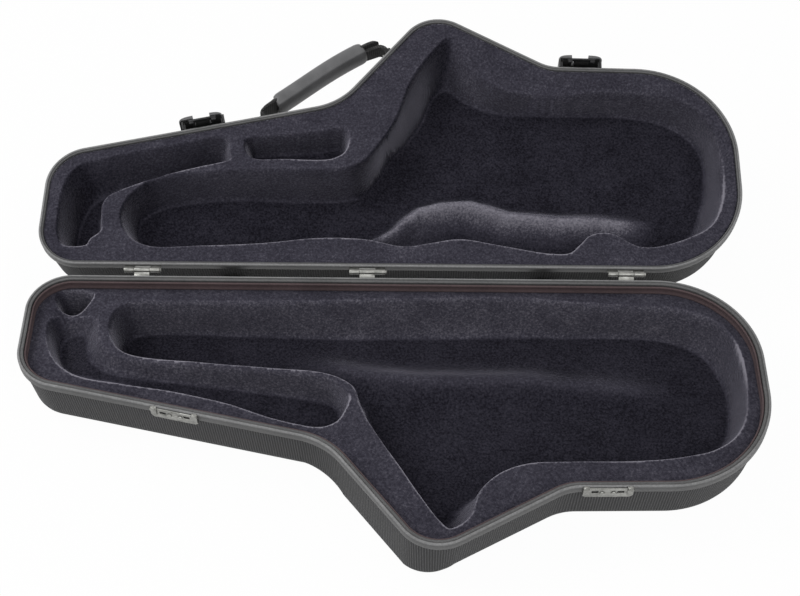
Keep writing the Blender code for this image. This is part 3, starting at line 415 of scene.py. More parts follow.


# %% Plush: short pile, brushed patches, bright at grazing angles, with painted light and shade
shader = new_finish("plush_pile", (0.018, 0.017, 0.025), 1.0, {
    "Sheen Weight": 0.55, "Sheen Roughness": 0.36, "Sheen Tint": (0.80, 0.78, 0.92, 1.0),
    "Specular IOR Level": 0.0})
place = place_of(shader)
patches = grain(place, 30.0, 4.0, 0.6)
strokes = grain(place_of(shader, "Object", (1.0, 3.2, 1.0), (0.0, 0.0, 0.5)), 55.0, 3.0, 0.6)
pile = grain(place, 480.0, 4.0, 0.75)
# The lining's vertex layer: painted shade on floors and on walls that face right, painted light on
# walls that face the front, painted highlights on crests and ridges.
painted_light_layer = new_node(shader, "Attribute", {})
painted_light_layer.attribute_name = "painted_light"
mixed = weighted((level_range(patches, -0.06, 0.36), 0.5), (strokes, 0.09),
                 (level_range(pile, -0.35, 1.25), 0.5), (painted_light_layer.outputs["Fac"], 0.21))
colour = colour_range(mixed, [
    (0.28, (0.009, 0.0085, 0.0125)), (0.40, (0.023, 0.022, 0.031)), (0.54, (0.042, 0.040, 0.054)),
    (0.66, (0.070, 0.067, 0.087)), (0.95, (0.250, 0.240, 0.280))])
dress(shader, colour, pile, 0.0010, 0.8)
print("plush is ready")

# %% Ribbed cloth of the shells
RIB_PITCH, THREAD_PITCH = 0.0023, 0.0021
shader = new_finish("ribbed_cloth", (0.10, 0.10, 0.105), 0.85, {
    "Specular IOR Level": 0.35, "Sheen Weight": 0.10, "Sheen Roughness": 0.5})
place = place_of(shader, "UV")
thread = level_range(ribs(place, THREAD_PITCH, "Y", 0.6), 0.35, 1.0)
weave = combine(ribs(place, RIB_PITCH, "X", 0.35), thread)
cloth = weighted((weave, 0.8), (grain(place_of(shader), 800.0, 3.0), 0.2))
colour = colour_range(cloth, [
    (0.12, (0.005, 0.005, 0.006)), (0.45, (0.033, 0.033, 0.035)), (0.85, (0.100, 0.100, 0.102))])
dress(shader, colour, cloth, 0.0007, 0.8)
print("cloth is ready")

# %% Rubber: rims, gasket and feet
# Painted light and shade across the rims, by mm along their section: a painted highlight on the
# bead's top, painted shade in the groove, on the lip and down both faces.
RIM_PAINTED_LIGHT = ((6.2, 0.40), (7.5, 0.95), (9.2, 0.95), (9.7, 0.22), (10.3, 0.22), (10.8, 0.52),
             (12.6, 0.42), (14.5, 0.28))
BAND_SPAN = 20.0


def rubber(name, dark, light, roughness, bands=()):
    """Speckled rubber; bands are (mm along the section, level) of painted light and shade: a
    painted highlight on the bead, painted shade beside it.
    """
    shader = new_finish(name, dark, roughness, {"Specular IOR Level": 0.4})
    place = place_of(shader)
    fine = grain(place, 500.0, 4.0, 0.65)
    mixed = weighted((fine, 0.65), (grain(place, 30.0, 2.0), 0.35))
    colour = colour_range(mixed, [(0.35, dark), (0.65, light)])
    if bands:
        # The speckle is multiplied by the bands of painted light and shade.
        along = new_node(shader, "SeparateXYZ", {0: place_of(shader, "UV")}).outputs["Y"]
        band_light = colour_range(combine(along, 1.0 / (BAND_SPAN * MM)),
                            [(mm / BAND_SPAN, (level,) * 3) for mm, level in bands])
        blend = new_node(shader, "Mix", {})
        blend.data_type, blend.blend_type = "RGBA", "MULTIPLY"
        set_inputs(blend, {"Factor": 1.0, "A": colour, "B": band_light})
        colour = blend.outputs["Result"]
    dress(shader, colour, fine, 0.0003, 0.5,
          Roughness=level_range(fine, roughness - 0.1, roughness + 0.1))


rubber("rim_rubber_skin", (0.150, 0.150, 0.152), (0.270, 0.270, 0.272), 0.5, RIM_PAINTED_LIGHT)
rubber("gasket_strip", (0.060, 0.041, 0.043), (0.100, 0.068, 0.071), 0.75)
rubber("foot_skin", (0.014, 0.014, 0.014), (0.028, 0.028, 0.028), 0.8)
print("rubber is ready")

# %% Metals: nickel with a drawn grain, and black steel
def metal(name, dark, light, roughness, metallic=1.0):
    shader = new_finish(name, dark, roughness, {"Metallic": metallic})
    drawn = grain(place_of(shader, "Object", (40.0, 700.0, 700.0)), 1.0, 3.0)
    mixed = weighted((drawn, 0.5), (grain(place_of(shader), 220.0, 3.0), 0.5))
    dress(shader, colour_range(mixed, [(0.35, dark), (0.65, light)]), drawn, 0.00005, 0.4,
          Roughness=level_range(mixed, roughness - 0.07, roughness + 0.12))


metal("drawn_nickel", (0.17, 0.17, 0.16), (0.38, 0.38, 0.36), 0.36)
metal("blackened_steel", (0.020, 0.020, 0.021), (0.045, 0.045, 0.047), 0.42, 0.8)
print("metals are ready")

# %% Moulded plastic, grip skin and webbing
def moulded(name, dark, light, roughness, scale, depth):
    """Skin with small cells: how many to a metre, and how deep."""
    shader = new_finish(name, dark, roughness, {})
    place = place_of(shader)
    cells = new_node(shader, "TexVoronoi", {"Vector": place, "Scale": scale})
    broad = grain(place, 60.0, 3.0)
    colour = colour_range(broad, [(0.3, dark), (0.7, light)])
    dress(shader, colour, cells.outputs["Distance"], depth, 0.5,
          Roughness=level_range(broad, roughness - 0.06, roughness + 0.1))


moulded("satin_plastic", (0.010, 0.010, 0.011), (0.020, 0.020, 0.021), 0.36, 1600.0, 0.00008)
# A paler grey copy of the satin black plastic, as painted light on the latch covers' lit outside.
moulded("painted_lit_plastic", (0.085, 0.085, 0.088), (0.130, 0.130, 0.134), 0.42, 1600.0, 0.00008)
moulded("grip_skin", (0.095, 0.095, 0.098), (0.140, 0.140, 0.144), 0.42, 900.0, 0.00025)

STRAP_LEAN = math.radians(-33.0)
shader = new_finish("ridged_webbing", (0.02, 0.02, 0.021), 0.8, {})
place = place_of(shader, "Object", (1.0, 1.0, 1.0), (0.0, 0.0, STRAP_LEAN))
cords = combine(ribs(place, 0.0016, "Z"), ribs(place, 0.0022, "X"))
yarn = weighted((cords, 0.7), (grain(place, 900.0), 0.3))
colour = colour_range(yarn, [(0.15, (0.006, 0.006, 0.006)), (0.85, (0.060, 0.058, 0.060))])
dress(shader, colour, yarn, 0.0005, 0.9)
print("finishes:", sorted(finishes))

# %% [markdown]
# ## Putting a finish and a body on a piece
#
# Every new piece needs a material, chosen by the slot of the record it stands for, and a body to
# ride on, and the CAD solids it replaces must be hidden. One helper does all three.

# %% Helper that hands a piece over to the frame
SLOTS = {"shell_fabric": "ribbed_cloth", "rim_rubber": "rim_rubber_skin", "plush": "plush_pile",
         "gasket_rubber": "gasket_strip", "foot_rubber": "foot_skin",
         "bright_nickel": "drawn_nickel", "black_steel": "blackened_steel",
         "black_plastic": "satin_plastic", "grip_leather": "grip_skin",
         "webbing": "ridged_webbing"}


def hand_over(piece, slot, body, *nodes):
    piece.data.materials.clear()
    piece.data.materials.append(finishes[SLOTS[slot]])
    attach(piece, body)
    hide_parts(*nodes)


# %% [markdown]
# ## Shells
#
# A shell is a moulded skin about 2 mm thick: a wall that leans in by 6 degrees, a round bottom
# edge and a flat bottom. The section goes up the inside and down the outside in one line, so the
# skin has its true thickness and both ends close with a face. The base is fuller along the diagonal
# beside the lobe, where its wall stands upright, and a little slimmer at the front right. So every
# edge has a fullness, and a ring's points blend between a plain section and a full one.

# %% Two shells
FULLNESS = {"base": (0.0, -0.1, 1.0, -0.35, -0.3, 0.0, 0.0), "lid": (0.0,) * 7}
SKIN = {"base": 2.2, "lid": 1.6}
UPRIGHT_DRAFT = math.radians(0.4)
UPRIGHT_RADIUS = 12.0


def shell_rings(half):
    """Rings up the inside and down the outside; each point has the fullness of its edge."""
    plain = wall_section(SKIN[half])[::-1] + wall_section()
    full = (wall_section(SKIN[half], UPRIGHT_DRAFT, UPRIGHT_RADIUS)[::-1]
            + wall_section(0.0, UPRIGHT_DRAFT, UPRIGHT_RADIUS))
    rings = []
    for (inset, depth), (full_inset, full_depth) in zip(plain, full):
        ring = []
        for centre, way, radius, side, index, share in corner_spokes():
            fullness = FULLNESS[half][index - 1] * (1.0 - share) + FULLNESS[half][index] * share
            spot = centre + way * (radius - side * (inset + (full_inset - inset) * fullness))
            low = depth + (full_depth - depth) * max(fullness, 0.0)
            ring.append(HALVES[half] @ (Vector((spot.x, spot.y, low)) * MM))
        rings.append(ring)
    return rings


for half in HALVES:
    shell = pull_ring(half + "_shell_cloth", shell_rings(half))
    smooth(shell, 40.0)
    hand_over(shell, "shell_fabric", half, half + "_shell")
    print(shell.name, len(shell.data.polygons), "faces")

# %% [markdown]
# ## Rims and gasket
#
# The rim is a channel that caps the shell's edge. From above it shows a round bead at the outside,
# a fine groove, and a flat inner lip. The lid's rim has no lip, because its plush starts right
# behind the bead. The hinge leaves sit in three notches, which are cut with a Boolean. The base has
# a red brown gasket inside its rim.

# %% Two rims with notches for the hinges
RIM_SECTION = (
    (0.15, 8.0), (0.0, 7.8), (0.0, 1.5), (0.22, 0.75), (0.75, 0.2), (1.5, 0.0), (2.25, 0.2),
    (2.8, 0.75), (3.0, 1.05), (3.2, 1.05), (3.4, 0.8), (4.9, 0.8), (5.2, 0.95), (5.3, 1.3),
    (5.3, 5.6), (4.4, 5.6), (4.4, 1.5), (0.9, 1.5), (0.9, 8.0))
LID_RIM_SECTION = RIM_SECTION[:7] + (
    (2.9, 0.6), (3.5, 0.9), (3.9, 1.3), (4.0, 1.9), (4.0, 5.6), (3.6, 5.6), (3.6, 2.0), (3.1, 1.5),
    (0.9, 1.5), (0.9, 8.0))
HINGES = (-226.2, -22.4, 211.3)
NOTCH_HALF_WIDTH = 16.3


def add_block(low, high, matrix):
    """Box between two corners in mm, used as a cutter; a mirrored box is turned right side out."""
    deselect()
    bpy.ops.mesh.primitive_cube_add(size=1.0)
    block = bpy.context.object
    size = [(b - a) * MM for a, b in zip(low, high)]
    middle = [(a + b) / 2.0 for a, b in zip(low, high)]
    place = matrix @ Matrix.Translation(Vector(middle) * MM)
    block.data.transform(place @ Matrix.Diagonal((*size, 1)))
    if matrix.determinant() < 0.0:
        block.data.flip_normals()
    return block


def cut(piece, cutter):
    choose(piece)
    modifier = piece.modifiers.new("cut", "BOOLEAN")
    modifier.solver = "EXACT"
    modifier.object = cutter
    bpy.ops.object.modifier_apply(modifier=modifier.name)
    bpy.data.objects.remove(cutter, do_unlink=True)


for half in HALVES:
    section = RIM_SECTION if half == "base" else LID_RIM_SECTION
    rim = pull_ring(half + "_rim_moulding", outline_rings(half, section), closed=True)
    for x in HINGES:
        low, high = (x - NOTCH_HALF_WIDTH, -1.2, 2.1), (x + NOTCH_HALF_WIDTH, 4.0, 12.0)
        cut(rim, add_block(low, high, HALVES[half]))
    smooth(rim, 38.0)
    hand_over(rim, "rim_rubber", half, half + "_rim")
    print(rim.name, len(rim.data.polygons), "faces")

# %% Gasket of the base
GASKET_SECTION = (
    (5.6, 11.1), (5.6, 3.1), (5.85, 2.6), (6.5, 2.4), (7.1, 2.6), (7.4, 3.1), (7.4, 4.3),
    (7.2, 4.6), (7.2, 9.2), (7.4, 9.5), (7.4, 11.1), (7.2, 11.3), (5.8, 11.3))
gasket = pull_ring("base_gasket_strip", outline_rings("base", GASKET_SECTION), closed=True)
smooth(gasket, 50.0)
hand_over(gasket, "gasket_rubber", "base", "base_gasket")
print(gasket.name, len(gasket.data.polygons), "faces")

# %% [markdown]
# ## Linings
#
# A lining is foam that was moulded over a form and covered with plush. Seen from above it is a
# landscape: a level top, crisp crests round each pocket, walls that fall to a soft floor, and low
# swells that hold the instrument. So it is made as a height field. For each pocket two closed
# curves are drawn, the crest and the edge of the floor, and a point between them lies as deep as
# its share of the way from one to the other. A constrained triangulation keeps the crest curves as
# real edges, with small triangles near them and larger ones on the open floor. Cloth simulation
# would blur those crests, so the soft forms are made by moving vertices.

# %% Curves and distances
def smooth_loop(points, spacing=1.6):
    """Closed curve in mm that passes through points."""
    corner = np.array(points, float)
    curve = []
    for i in range(len(corner)):
        a, b, c, d = (corner[(i + k) % len(corner)] for k in (-1, 0, 1, 2))
        t1, t2, t3 = (np.linalg.norm(q - p) ** 0.5 for p, q in ((a, b), (b, c), (c, d)))
        leave = ((b - a) / t1 - (c - a) / (t1 + t2) + (c - b) / t2) * t2
        arrive = ((c - b) / t2 - (d - b) / (t2 + t3) + (d - c) / t3) * t2
        parts = max(1, round(np.linalg.norm(c - b) / spacing))
        for t in np.linspace(0.0, 1.0, parts, endpoint=False):
            curve.append((2 * t**3 - 3 * t**2 + 1) * b + (t**3 - 2 * t**2 + t) * leave
                         + (3 * t**2 - 2 * t**3) * c + (t**3 - t**2) * arrive)
    return np.array(curve)


def inside_distance(points, loop):
    """Distance in mm to a closed curve, positive inside it."""
    a, step = loop, np.roll(loop, -1, axis=0) - loop
    length = (step**2).sum(1)
    result = np.empty(len(points))
    for start in range(0, len(points), 4000):
        p = points[start:start + 4000]
        x, y = p[:, :1] - a[:, 0], p[:, 1:] - a[:, 1]
        share = np.clip((x * step[:, 0] + y * step[:, 1]) / length, 0.0, 1.0)
        away = np.sqrt(((x - share * step[:, 0])**2 + (y - share * step[:, 1])**2).min(1))
        crosses = (y < 0.0) != (y < step[:, 1])
        slope = step[:, 0] / np.where(step[:, 1] == 0.0, 1e-9, step[:, 1])
        odd = (crosses & (x < y * slope)).sum(1) % 2 == 1
        result[start:start + 4000] = np.where(odd, away, -away)
    return result


def ease(value):
    value = np.clip(value, 0.0, 1.0)
    return value * value * (3.0 - 2.0 * value)


def pocket(points, top, crest, floor_edge, bottom, softness=0.0, lip=0.9):
    """Depth in mm of a pocket: crisp at the crest, rounded at the floor, or soft at both."""
    from_crest = inside_distance(points, crest)
    to_floor = np.maximum(-inside_distance(points, floor_edge), 0.0)
    reach = np.sqrt(np.maximum(from_crest, 0.0)**2 + lip**2) - lip
    share = reach / np.maximum(reach + to_floor, 1e-6)
    wall = (1.0 - (1.0 - share)**1.7) * (1.0 - softness) + ease(share) * softness
    return np.where(from_crest > 0.0, top + (bottom - top) * wall, top)


def swell(points, line, heights, near, far):
    """Long ridge over a line: near is its width on the left of the line, far on the right."""
    line = np.array(line, float)
    best, height, side = np.full(len(points), 1e9), np.zeros(len(points)), np.zeros(len(points))
    for a, b, low, high in zip(line, line[1:], heights, heights[1:]):
        step = b - a
        share = np.clip(((points - a) @ step) / (step @ step), 0.0, 1.0)
        away = points - a - share[:, None] * step
        distance = np.hypot(*away.T)
        closer = distance < best
        best = np.where(closer, distance, best)
        height = np.where(closer, low + (high - low) * share, height)
        side = np.where(closer, step[0] * away[:, 1] - step[1] * away[:, 0], side)
    return height * np.exp(-(best / np.where(side > 0.0, near, far))**2)


print("curve through a square:", len(smooth_loop([(0, 0), (10, 0), (10, 10), (0, 10)])), "points")

# %% Lining helper: triangles over the outline, pushed to their depth, with skirt and bottom
EDGE_SPACING = 2.6
FINE = 1.4
FOAM_SIDE = wall_inset(44.0, 2.6)


def make_lining(name, half, nodes, crests, floors, depth_at, ridge, light_weights):
    """Height field between the outline and the pockets' curves, closed below."""
    edge = np.array([tuple(p) for p in outline(LINING_INSET[half], EDGE_SPACING)])
    loops = [edge] + crests + floors
    near = KDTree(sum(map(len, loops)))
    for index, (x, y) in enumerate(np.concatenate(loops)):
        near.insert((x, y, 0.0), index)
    near.balance()
    spots = []
    for i, x in enumerate(np.arange(edge[:, 0].min(), edge[:, 0].max(), FINE)):
        for j, y in enumerate(np.arange(edge[:, 1].min(), edge[:, 1].max(), FINE)):
            gap = near.find((x, y, 0.0))[2]
            if gap > FINE * 0.6 and (gap < 7.0 or (i % 2 == 0 and j % 2 == 0)):
                spots.append((x, y))
    spots = np.array(spots)
    spots = spots[inside_distance(spots, edge) > 0.0]
    fixed, start = [], 0
    for loop in loops:
        fixed += [(start + k, start + (k + 1) % len(loop)) for k in range(len(loop))]
        start += len(loop)
    flat = [Vector(p) for p in np.concatenate(loops + [spots])]
    corners, _, faces, origin, _, _ = delaunay_2d_cdt(flat, fixed, [], 0, 1e-5)
    corners = np.array([tuple(c) for c in corners])
    faces = np.array(faces)
    faces = faces[inside_distance(corners[faces].mean(1), edge) > 0.0]
    depth = depth_at(corners)
    rim = {source: index for index, sources in enumerate(origin) for source in sources}
    rim = [rim[k] for k in range(len(edge))]
    points = [(x, y, d) for (x, y), d in zip(corners, depth)]
    faces = [tuple(f) for f in faces]
    for inset, low in ((LINING_INSET[half], 17.0), (FOAM_SIDE, 44.0), (FOAM_SIDE + 7.0, 60.0)):
        ring = outline(inset, EDGE_SPACING)
        if len(ring) != len(edge):
            ring = match_ring(ring, edge)
        lower = list(range(len(points), len(points) + len(edge)))
        points += [(p[0], p[1], low) for p in ring]
        faces += [(rim[k], lower[k], lower[(k + 1) % len(edge)], rim[(k + 1) % len(edge)])
                  for k in range(len(edge))]
        rim = lower
    faces.append(tuple(rim))
    data = bpy.data.meshes.new(name)
    data.from_pydata([HALVES[half] @ (Vector(p) * MM) for p in points], [], faces)
    piece = new_object(name, data)
    edit_all(piece)
    bpy.ops.mesh.normals_make_consistent(inside=False)
    bpy.ops.object.mode_set(mode="OBJECT")
    data.shade_smooth()
    # A vertex layer of painted light and shade, from where each vertex lies and which way it faces.
    faces_way = np.empty(3 * len(points))
    data.vertex_normals.foreach_get("vector", faces_way)
    faces_way = faces_way.reshape(-1, 3)[:len(corners)]
    painted_light_layer = np.ones(len(points))
    painted_light_layer[:len(corners)] = painted_light_of(corners, faces_way, crests, floors, ridge, light_weights)
    data.attributes.new("painted_light", "FLOAT", "POINT").data.foreach_set("value", painted_light_layer)
    hand_over(piece, "plush", half, *nodes)
    print(name, len(data.vertices), "vertices, deepest", round(float(depth.max()), 1), "mm")


def painted_light_of(points, faces_way, crests, floors, ridge, light_weights):
    """Painted light and shade on the plush, one value for each vertex: dark on floors, paler on
    walls.

    Painted shade on the pockets' floors and on walls that face right, painted light on walls that
    face the front, and a painted highlight along each crest, brightest where its pocket lies beyond
    it.
    """
    # Painted shade on the floors of the pockets, taken off over the swell.
    painted_shade = np.max([ease((inside_distance(points, loop) + 0.5) / 3.0) for loop in floors], axis=0)
    heights = (0.0,) + (1.0,) * (len(ridge) - 2) + (0.0,)
    hump = swell(points, ridge, heights, light_weights["near"], light_weights["far"])
    painted_shade *= 1.0 - hump
    right, back = faces_way[:, 0], faces_way[:, 1]
    # Painted shade on walls that face right, and painted light on walls that face the front.
    painted_shade = np.maximum(painted_shade, light_weights["right"] * ease((right - 0.10) / 0.45))
    painted_shade -= light_weights["front"] * ease((-back - 0.15) / 0.8)
    # Painted highlight along each crest, strongest where its pocket lies beyond it and varied in
    # slow waves, and a painted highlight over the ridge.
    crest = np.min([np.abs(inside_distance(points, loop)) for loop in crests], axis=0)
    crest_light_side = 0.12 + 0.88 * ease((back + 0.5 * np.maximum(-right, 0.0) - 0.02) / 0.25)
    x, y = points.T
    crest_light_waves = 1.0 + 0.6 * np.sin(x / 23.0 + 1.0) * np.sin(y / 19.0 + x / 61.0)
    return (1.0 - 0.85 * painted_shade + light_weights["crest"] * crest_light_side * crest_light_waves * np.exp(-crest**2)
            + light_weights["ridge"] * hump)


def match_ring(ring, edge):
    """As many points on a shorter ring as on the edge: each edge point's nearest place on it."""
    ring = np.array([tuple(p) for p in ring])
    step = np.roll(ring, -1, axis=0) - ring
    placed = []
    for point in edge:
        share = np.clip(((point - ring) * step).sum(1) / (step**2).sum(1), 0.0, 1.0)
        spots = ring + share[:, None] * step
        placed.append(spots[np.hypot(*(spots - point).T).argmin()])
    return placed


def unevenness(points, height=0.35):
    """The foam is never quite level: slow waves of a third of a millimetre."""
    x, y = points.T
    return height * (np.sin(x / 17.0 + 1.3) * np.sin(y / 13.0) + 0.6 * np.sin(x / 7.1 + y / 9.7))


# %% [markdown]
# ### Lining of the base
#
# The base's lining starts 12 mm below the rim, under the gasket. One long cavity takes the body
# tube, the bow and the bell, and its point in the lobe takes the bell's rim. A tray lies in front
# of the narrow part, and a round cup at the end holds the small end cap. A low swell runs along
# the cavity's floor.

# %% Curves of the base's pockets, in mm in the rim frame
BODY_CREST = [
    (-235, -22), (-172, -20), (-82, -19), (8, -15), (80, -13), (116, -13), (151, -16), (187, -19),
    (223, -21), (258, -24), (278, -31), (295, -43), (304, -62), (308, -90), (306, -122),
    (301, -144), (290, -161), (272, -173), (251, -179), (217, -184), (142, -186), (117, -188),
    (101, -193), (88, -201), (77, -213), (72, -226), (68, -238), (60, -246), (50, -250), (43, -244),
    (26, -219), (10, -193), (-7, -166), (-21, -141), (-27, -126), (-31, -113), (-40, -105),
    (-57, -98), (-110, -93), (-166, -88), (-223, -82), (-238, -75), (-248, -61), (-251, -43),
    (-246, -29)]
BODY_FLOOR = [
    (-230, -29), (-176, -26), (-130, -28), (-38, -30), (30, -29), (99, -27), (191, -26), (228, -27),
    (255, -31), (281, -46), (294, -69), (299, -93), (297, -120), (291, -138), (279, -152),
    (262, -164), (240, -170), (215, -174), (142, -176), (112, -178), (94, -183), (78, -193),
    (62, -206), (54, -218), (48, -226), (40, -224), (32, -210), (17, -186), (1, -160), (-12, -137),
    (-18, -121), (-24, -106), (-36, -96), (-58, -89), (-110, -84), (-166, -79), (-220, -73),
    (-234, -66), (-242, -55), (-243, -42), (-239, -33)]
TRAY_CREST = [
    (-303, -40), (-306, -53), (-304, -65), (-299, -78), (-292, -89), (-282, -98), (-268, -105),
    (-233, -112), (-184, -120), (-140, -131), (-101, -145), (-80, -151), (-64, -154), (-53, -153),
    (-43, -147), (-37, -135), (-34, -122), (-40, -111), (-57, -101), (-110, -95.5), (-166, -90.5),
    (-223, -85), (-241, -79), (-254, -68), (-259, -54), (-263, -42), (-272, -37), (-288, -36)]
TRAY_FLOOR = [
    (-294, -50), (-296, -62), (-291, -76), (-282, -87), (-266, -95), (-232, -102), (-184, -111),
    (-138, -122), (-100, -135), (-70, -143), (-57, -143), (-49, -138), (-44, -126), (-50, -113),
    (-64, -108), (-115, -102), (-169, -98), (-222, -95), (-248, -90), (-264, -79), (-270, -64),
    (-274, -50), (-284, -45)]
CUP_CREST = [
    (-301, -12), (-303, -21), (-298, -29), (-288, -33), (-278, -30), (-271, -22), (-269, -12),
    (-285, -9)]
CUP_FLOOR = [
    (-295, -16), (-295, -21), (-291, -26), (-286, -27), (-280, -25), (-276, -20), (-276, -16),
    (-285, -14)]
BODY_SWELL = [
    (-90, -62), (-46, -69), (-10, -77), (35, -81), (80, -80), (115, -78), (151, -82), (204, -84),
    (250, -88)]
BASE_TOP, BODY_DEPTH, CUP_DEPTH = 11.8, 54.0, 44.0
# Weights of the painted light and shade on the base's plush; near and far are the swell's widths.
BASE_LIGHT_WEIGHTS = {"front": 0.55, "crest": 2.2, "ridge": 0.0, "right": 0.85, "near": 9.0, "far": 7.0}
base_crests = [smooth_loop(curve) for curve in (BODY_CREST, TRAY_CREST, CUP_CREST)]
base_floors = [smooth_loop(curve) for curve in (BODY_FLOOR, TRAY_FLOOR, CUP_FLOOR)]


def base_depth(points):
    x, y = points.T
    bump = 7.0 * np.exp(-((x + 286) / 16.0)**2 - ((y + 34) / 9.0)**2)
    top = BASE_TOP + bump + unevenness(points, 0.2)
    tray_depth = np.interp(x, (-290, -268, -240, -170, -115, -60), (35, 27, 26, 33, 38, 42))
    body = pocket(points, top, base_crests[0], base_floors[0], BODY_DEPTH, 0.12 * (y > -60))
    tray = pocket(points, top, base_crests[1], base_floors[1], tray_depth, 0.25)
    cup = pocket(points, top, base_crests[2], base_floors[2], CUP_DEPTH)
    hump = swell(points, BODY_SWELL, (0, 7, 9, 10, 9, 8, 6, 4, 0), 13.0, 15.0)
    body = np.where(body > 40.0, body - hump * ease((body - 40.0) / 12.0), body)
    return np.maximum.reduce([body, tray, cup]) + unevenness(points) * (body > 40.0)


base_blocks = ["base_lining_left", "base_lining_middle", "base_lining_right"]
make_lining("base_lining_plush", "base", base_blocks, base_crests, base_floors, base_depth,
            BODY_SWELL, BASE_LIGHT_WEIGHTS)

# %% [markdown]
# ### Lining of the lid
#
# The lid's lining reaches almost to the rim. Its long cavity is soft along the front, wavy along
# the hinges and has a saddle with an S-shaped crest that holds the body tube. At the narrow end
# lie the pocket for the neck and a small one for the mouthpiece.

# %% Curves of the lid's pockets, in mm in the rim frame
LID_CREST = [
    (-221, -20), (-176, -21), (-121, -24), (-66, -30), (-25, -29), (11, -22), (36, -26), (62, -30),
    (98, -24), (144, -16), (162, -17), (171, -25), (181, -35), (193, -38), (204, -36), (215, -29),
    (226, -24), (241, -24), (272, -34), (294, -48), (305, -72), (309, -96), (309, -122),
    (304, -152), (290, -175), (264, -191), (232, -196), (197, -197), (158, -193), (125, -195),
    (103, -202), (86, -213), (75, -228), (67, -244), (58, -254), (49, -253), (38, -241), (14, -202),
    (0, -157), (-14, -132), (-26, -116), (-42, -107), (-70, -104), (-106, -104), (-161, -102),
    (-204, -97), (-228, -90), (-241, -79), (-249, -67), (-252, -54), (-249, -40), (-238, -27)]
LID_FLOOR = [
    (-220, -31), (-176, -31), (-121, -34), (-66, -39), (-25, -38), (11, -33), (36, -37), (62, -40),
    (98, -34), (144, -27), (163, -30), (177, -43), (193, -48), (208, -45), (228, -37), (262, -45),
    (282, -59), (290, -78), (296, -101), (299, -129), (294, -154), (270, -178), (232, -189),
    (163, -191), (118, -192), (94, -195), (69, -206), (49, -220), (38, -213), (24, -178), (8, -155),
    (-6, -138), (-17, -117), (-33, -98), (-91, -90), (-149, -90), (-205, -82), (-228, -73),
    (-239, -62), (-240, -50), (-235, -38)]
NECK_CREST = [
    (-153, -113), (-166, -108), (-182, -104), (-218, -93), (-254, -78), (-265, -71), (-269, -63),
    (-268, -50), (-268, -36), (-277, -27), (-280, -21), (-303, -21), (-308, -32), (-310, -50),
    (-309, -75), (-304, -95), (-293, -107), (-267, -115), (-230, -124), (-193, -132), (-162, -139),
    (-155, -134), (-154, -123)]
NECK_FLOOR = [
    (-165, -117), (-185, -111), (-217, -101), (-250, -88), (-269, -78), (-277, -66), (-277, -50),
    (-280, -34), (-288, -27), (-295, -29), (-296, -45), (-292, -66), (-283, -82), (-265, -93),
    (-230, -106), (-193, -117), (-168, -123)]
SMALL_CREST = [
    (-141, -134), (-140, -122), (-133, -114), (-100, -113), (-62, -113), (-53, -116), (-46, -122),
    (-42, -140), (-47, -148), (-72, -145), (-100, -141), (-133, -138)]
SMALL_FLOOR = [
    (-134, -130), (-132, -122), (-126, -119), (-100, -118), (-66, -118), (-56, -122), (-50, -130),
    (-52, -138), (-72, -136), (-100, -133), (-128, -131)]
SADDLE = [
    (-24, -40), (-9, -48), (2, -57), (11, -68), (25, -79), (44, -84), (72, -86), (90, -81),
    (109, -75), (155, -72), (192, -73), (216, -72), (250, -70)]
LID_TOP, SHELF_DROP, NECK_DEPTH, SMALL_DEPTH = 3.0, 11.0, 36.0, 30.0
# Weights of the painted light and shade on the lid's plush; near and far are the saddle's widths.
LID_LIGHT_WEIGHTS = {"front": 0.1, "crest": 1.6, "ridge": 1.4, "right": 1.15, "near": 18.0, "far": 3.0}
lid_crests = [smooth_loop(curve) for curve in (LID_CREST, NECK_CREST, SMALL_CREST)]
lid_floors = [smooth_loop(curve) for curve in (LID_FLOOR, NECK_FLOOR, SMALL_FLOOR)]
lid_edge = np.array([tuple(p) for p in outline(LINING_INSET["lid"])])


def lid_depth(points):
    x, y = points.T
    shelf = np.maximum(ease((x - 45) / 40) * ease((-110 - y) / 50),
                       ease((x - 270) / 25) * ease((-60 - y) / 40))
    top = LID_TOP + SHELF_DROP * ease(inside_distance(points, lid_edge) / 20.0) * shelf
    body_depth = np.interp(x, (-240, -150, -60, 0, 60, 300), (38, 42, 48, 52, 50, 48))
    body = pocket(points, top, lid_crests[0], lid_floors[0], body_depth, 0.9 * ease((-55 - y) / 35))
    neck = pocket(points, top, lid_crests[1], lid_floors[1], NECK_DEPTH, 0.3)
    softness = 0.5 * ease((-125 - y) / 8)
    small = pocket(points, top, lid_crests[2], lid_floors[2], SMALL_DEPTH, softness)
    ridge = swell(points, SADDLE, (18, 18, 17, 16, 16, 16, 16, 15, 13, 9, 7, 4, 0), 14.0, 6.0)
    body = np.where(body > 14.0, body - ridge * ease((body - 14.0) / 25.0), body)
    return np.maximum.reduce([body, neck, small]) + unevenness(points) * (body > 30.0)


make_lining("lid_lining_plush", "lid", ["lid_lining"], lid_crests, lid_floors, lid_depth, SADDLE,
            LID_LIGHT_WEIGHTS)

# %% [markdown]
# ## Hardware
#
# Hinges, keepers, latches, rivets, feet and the handle's anchors have the right shape in the CAD
# model, but their edges are razor sharp. Each one is copied, its loose triangles are merged and
# dissolved to clean faces, and a small bevel gives the worn, rounded edge that catches the light.

# %% Copy, clean and bevel each small part
BEVELS = {"rivet": 0.0, "pin": 0.0, "keeper": 0.35, "latch_lever": 0.7, "latch_plate": 0.3,
          "handle_anchor": 0.4, "handle_strap": 0.6, "": 0.2}


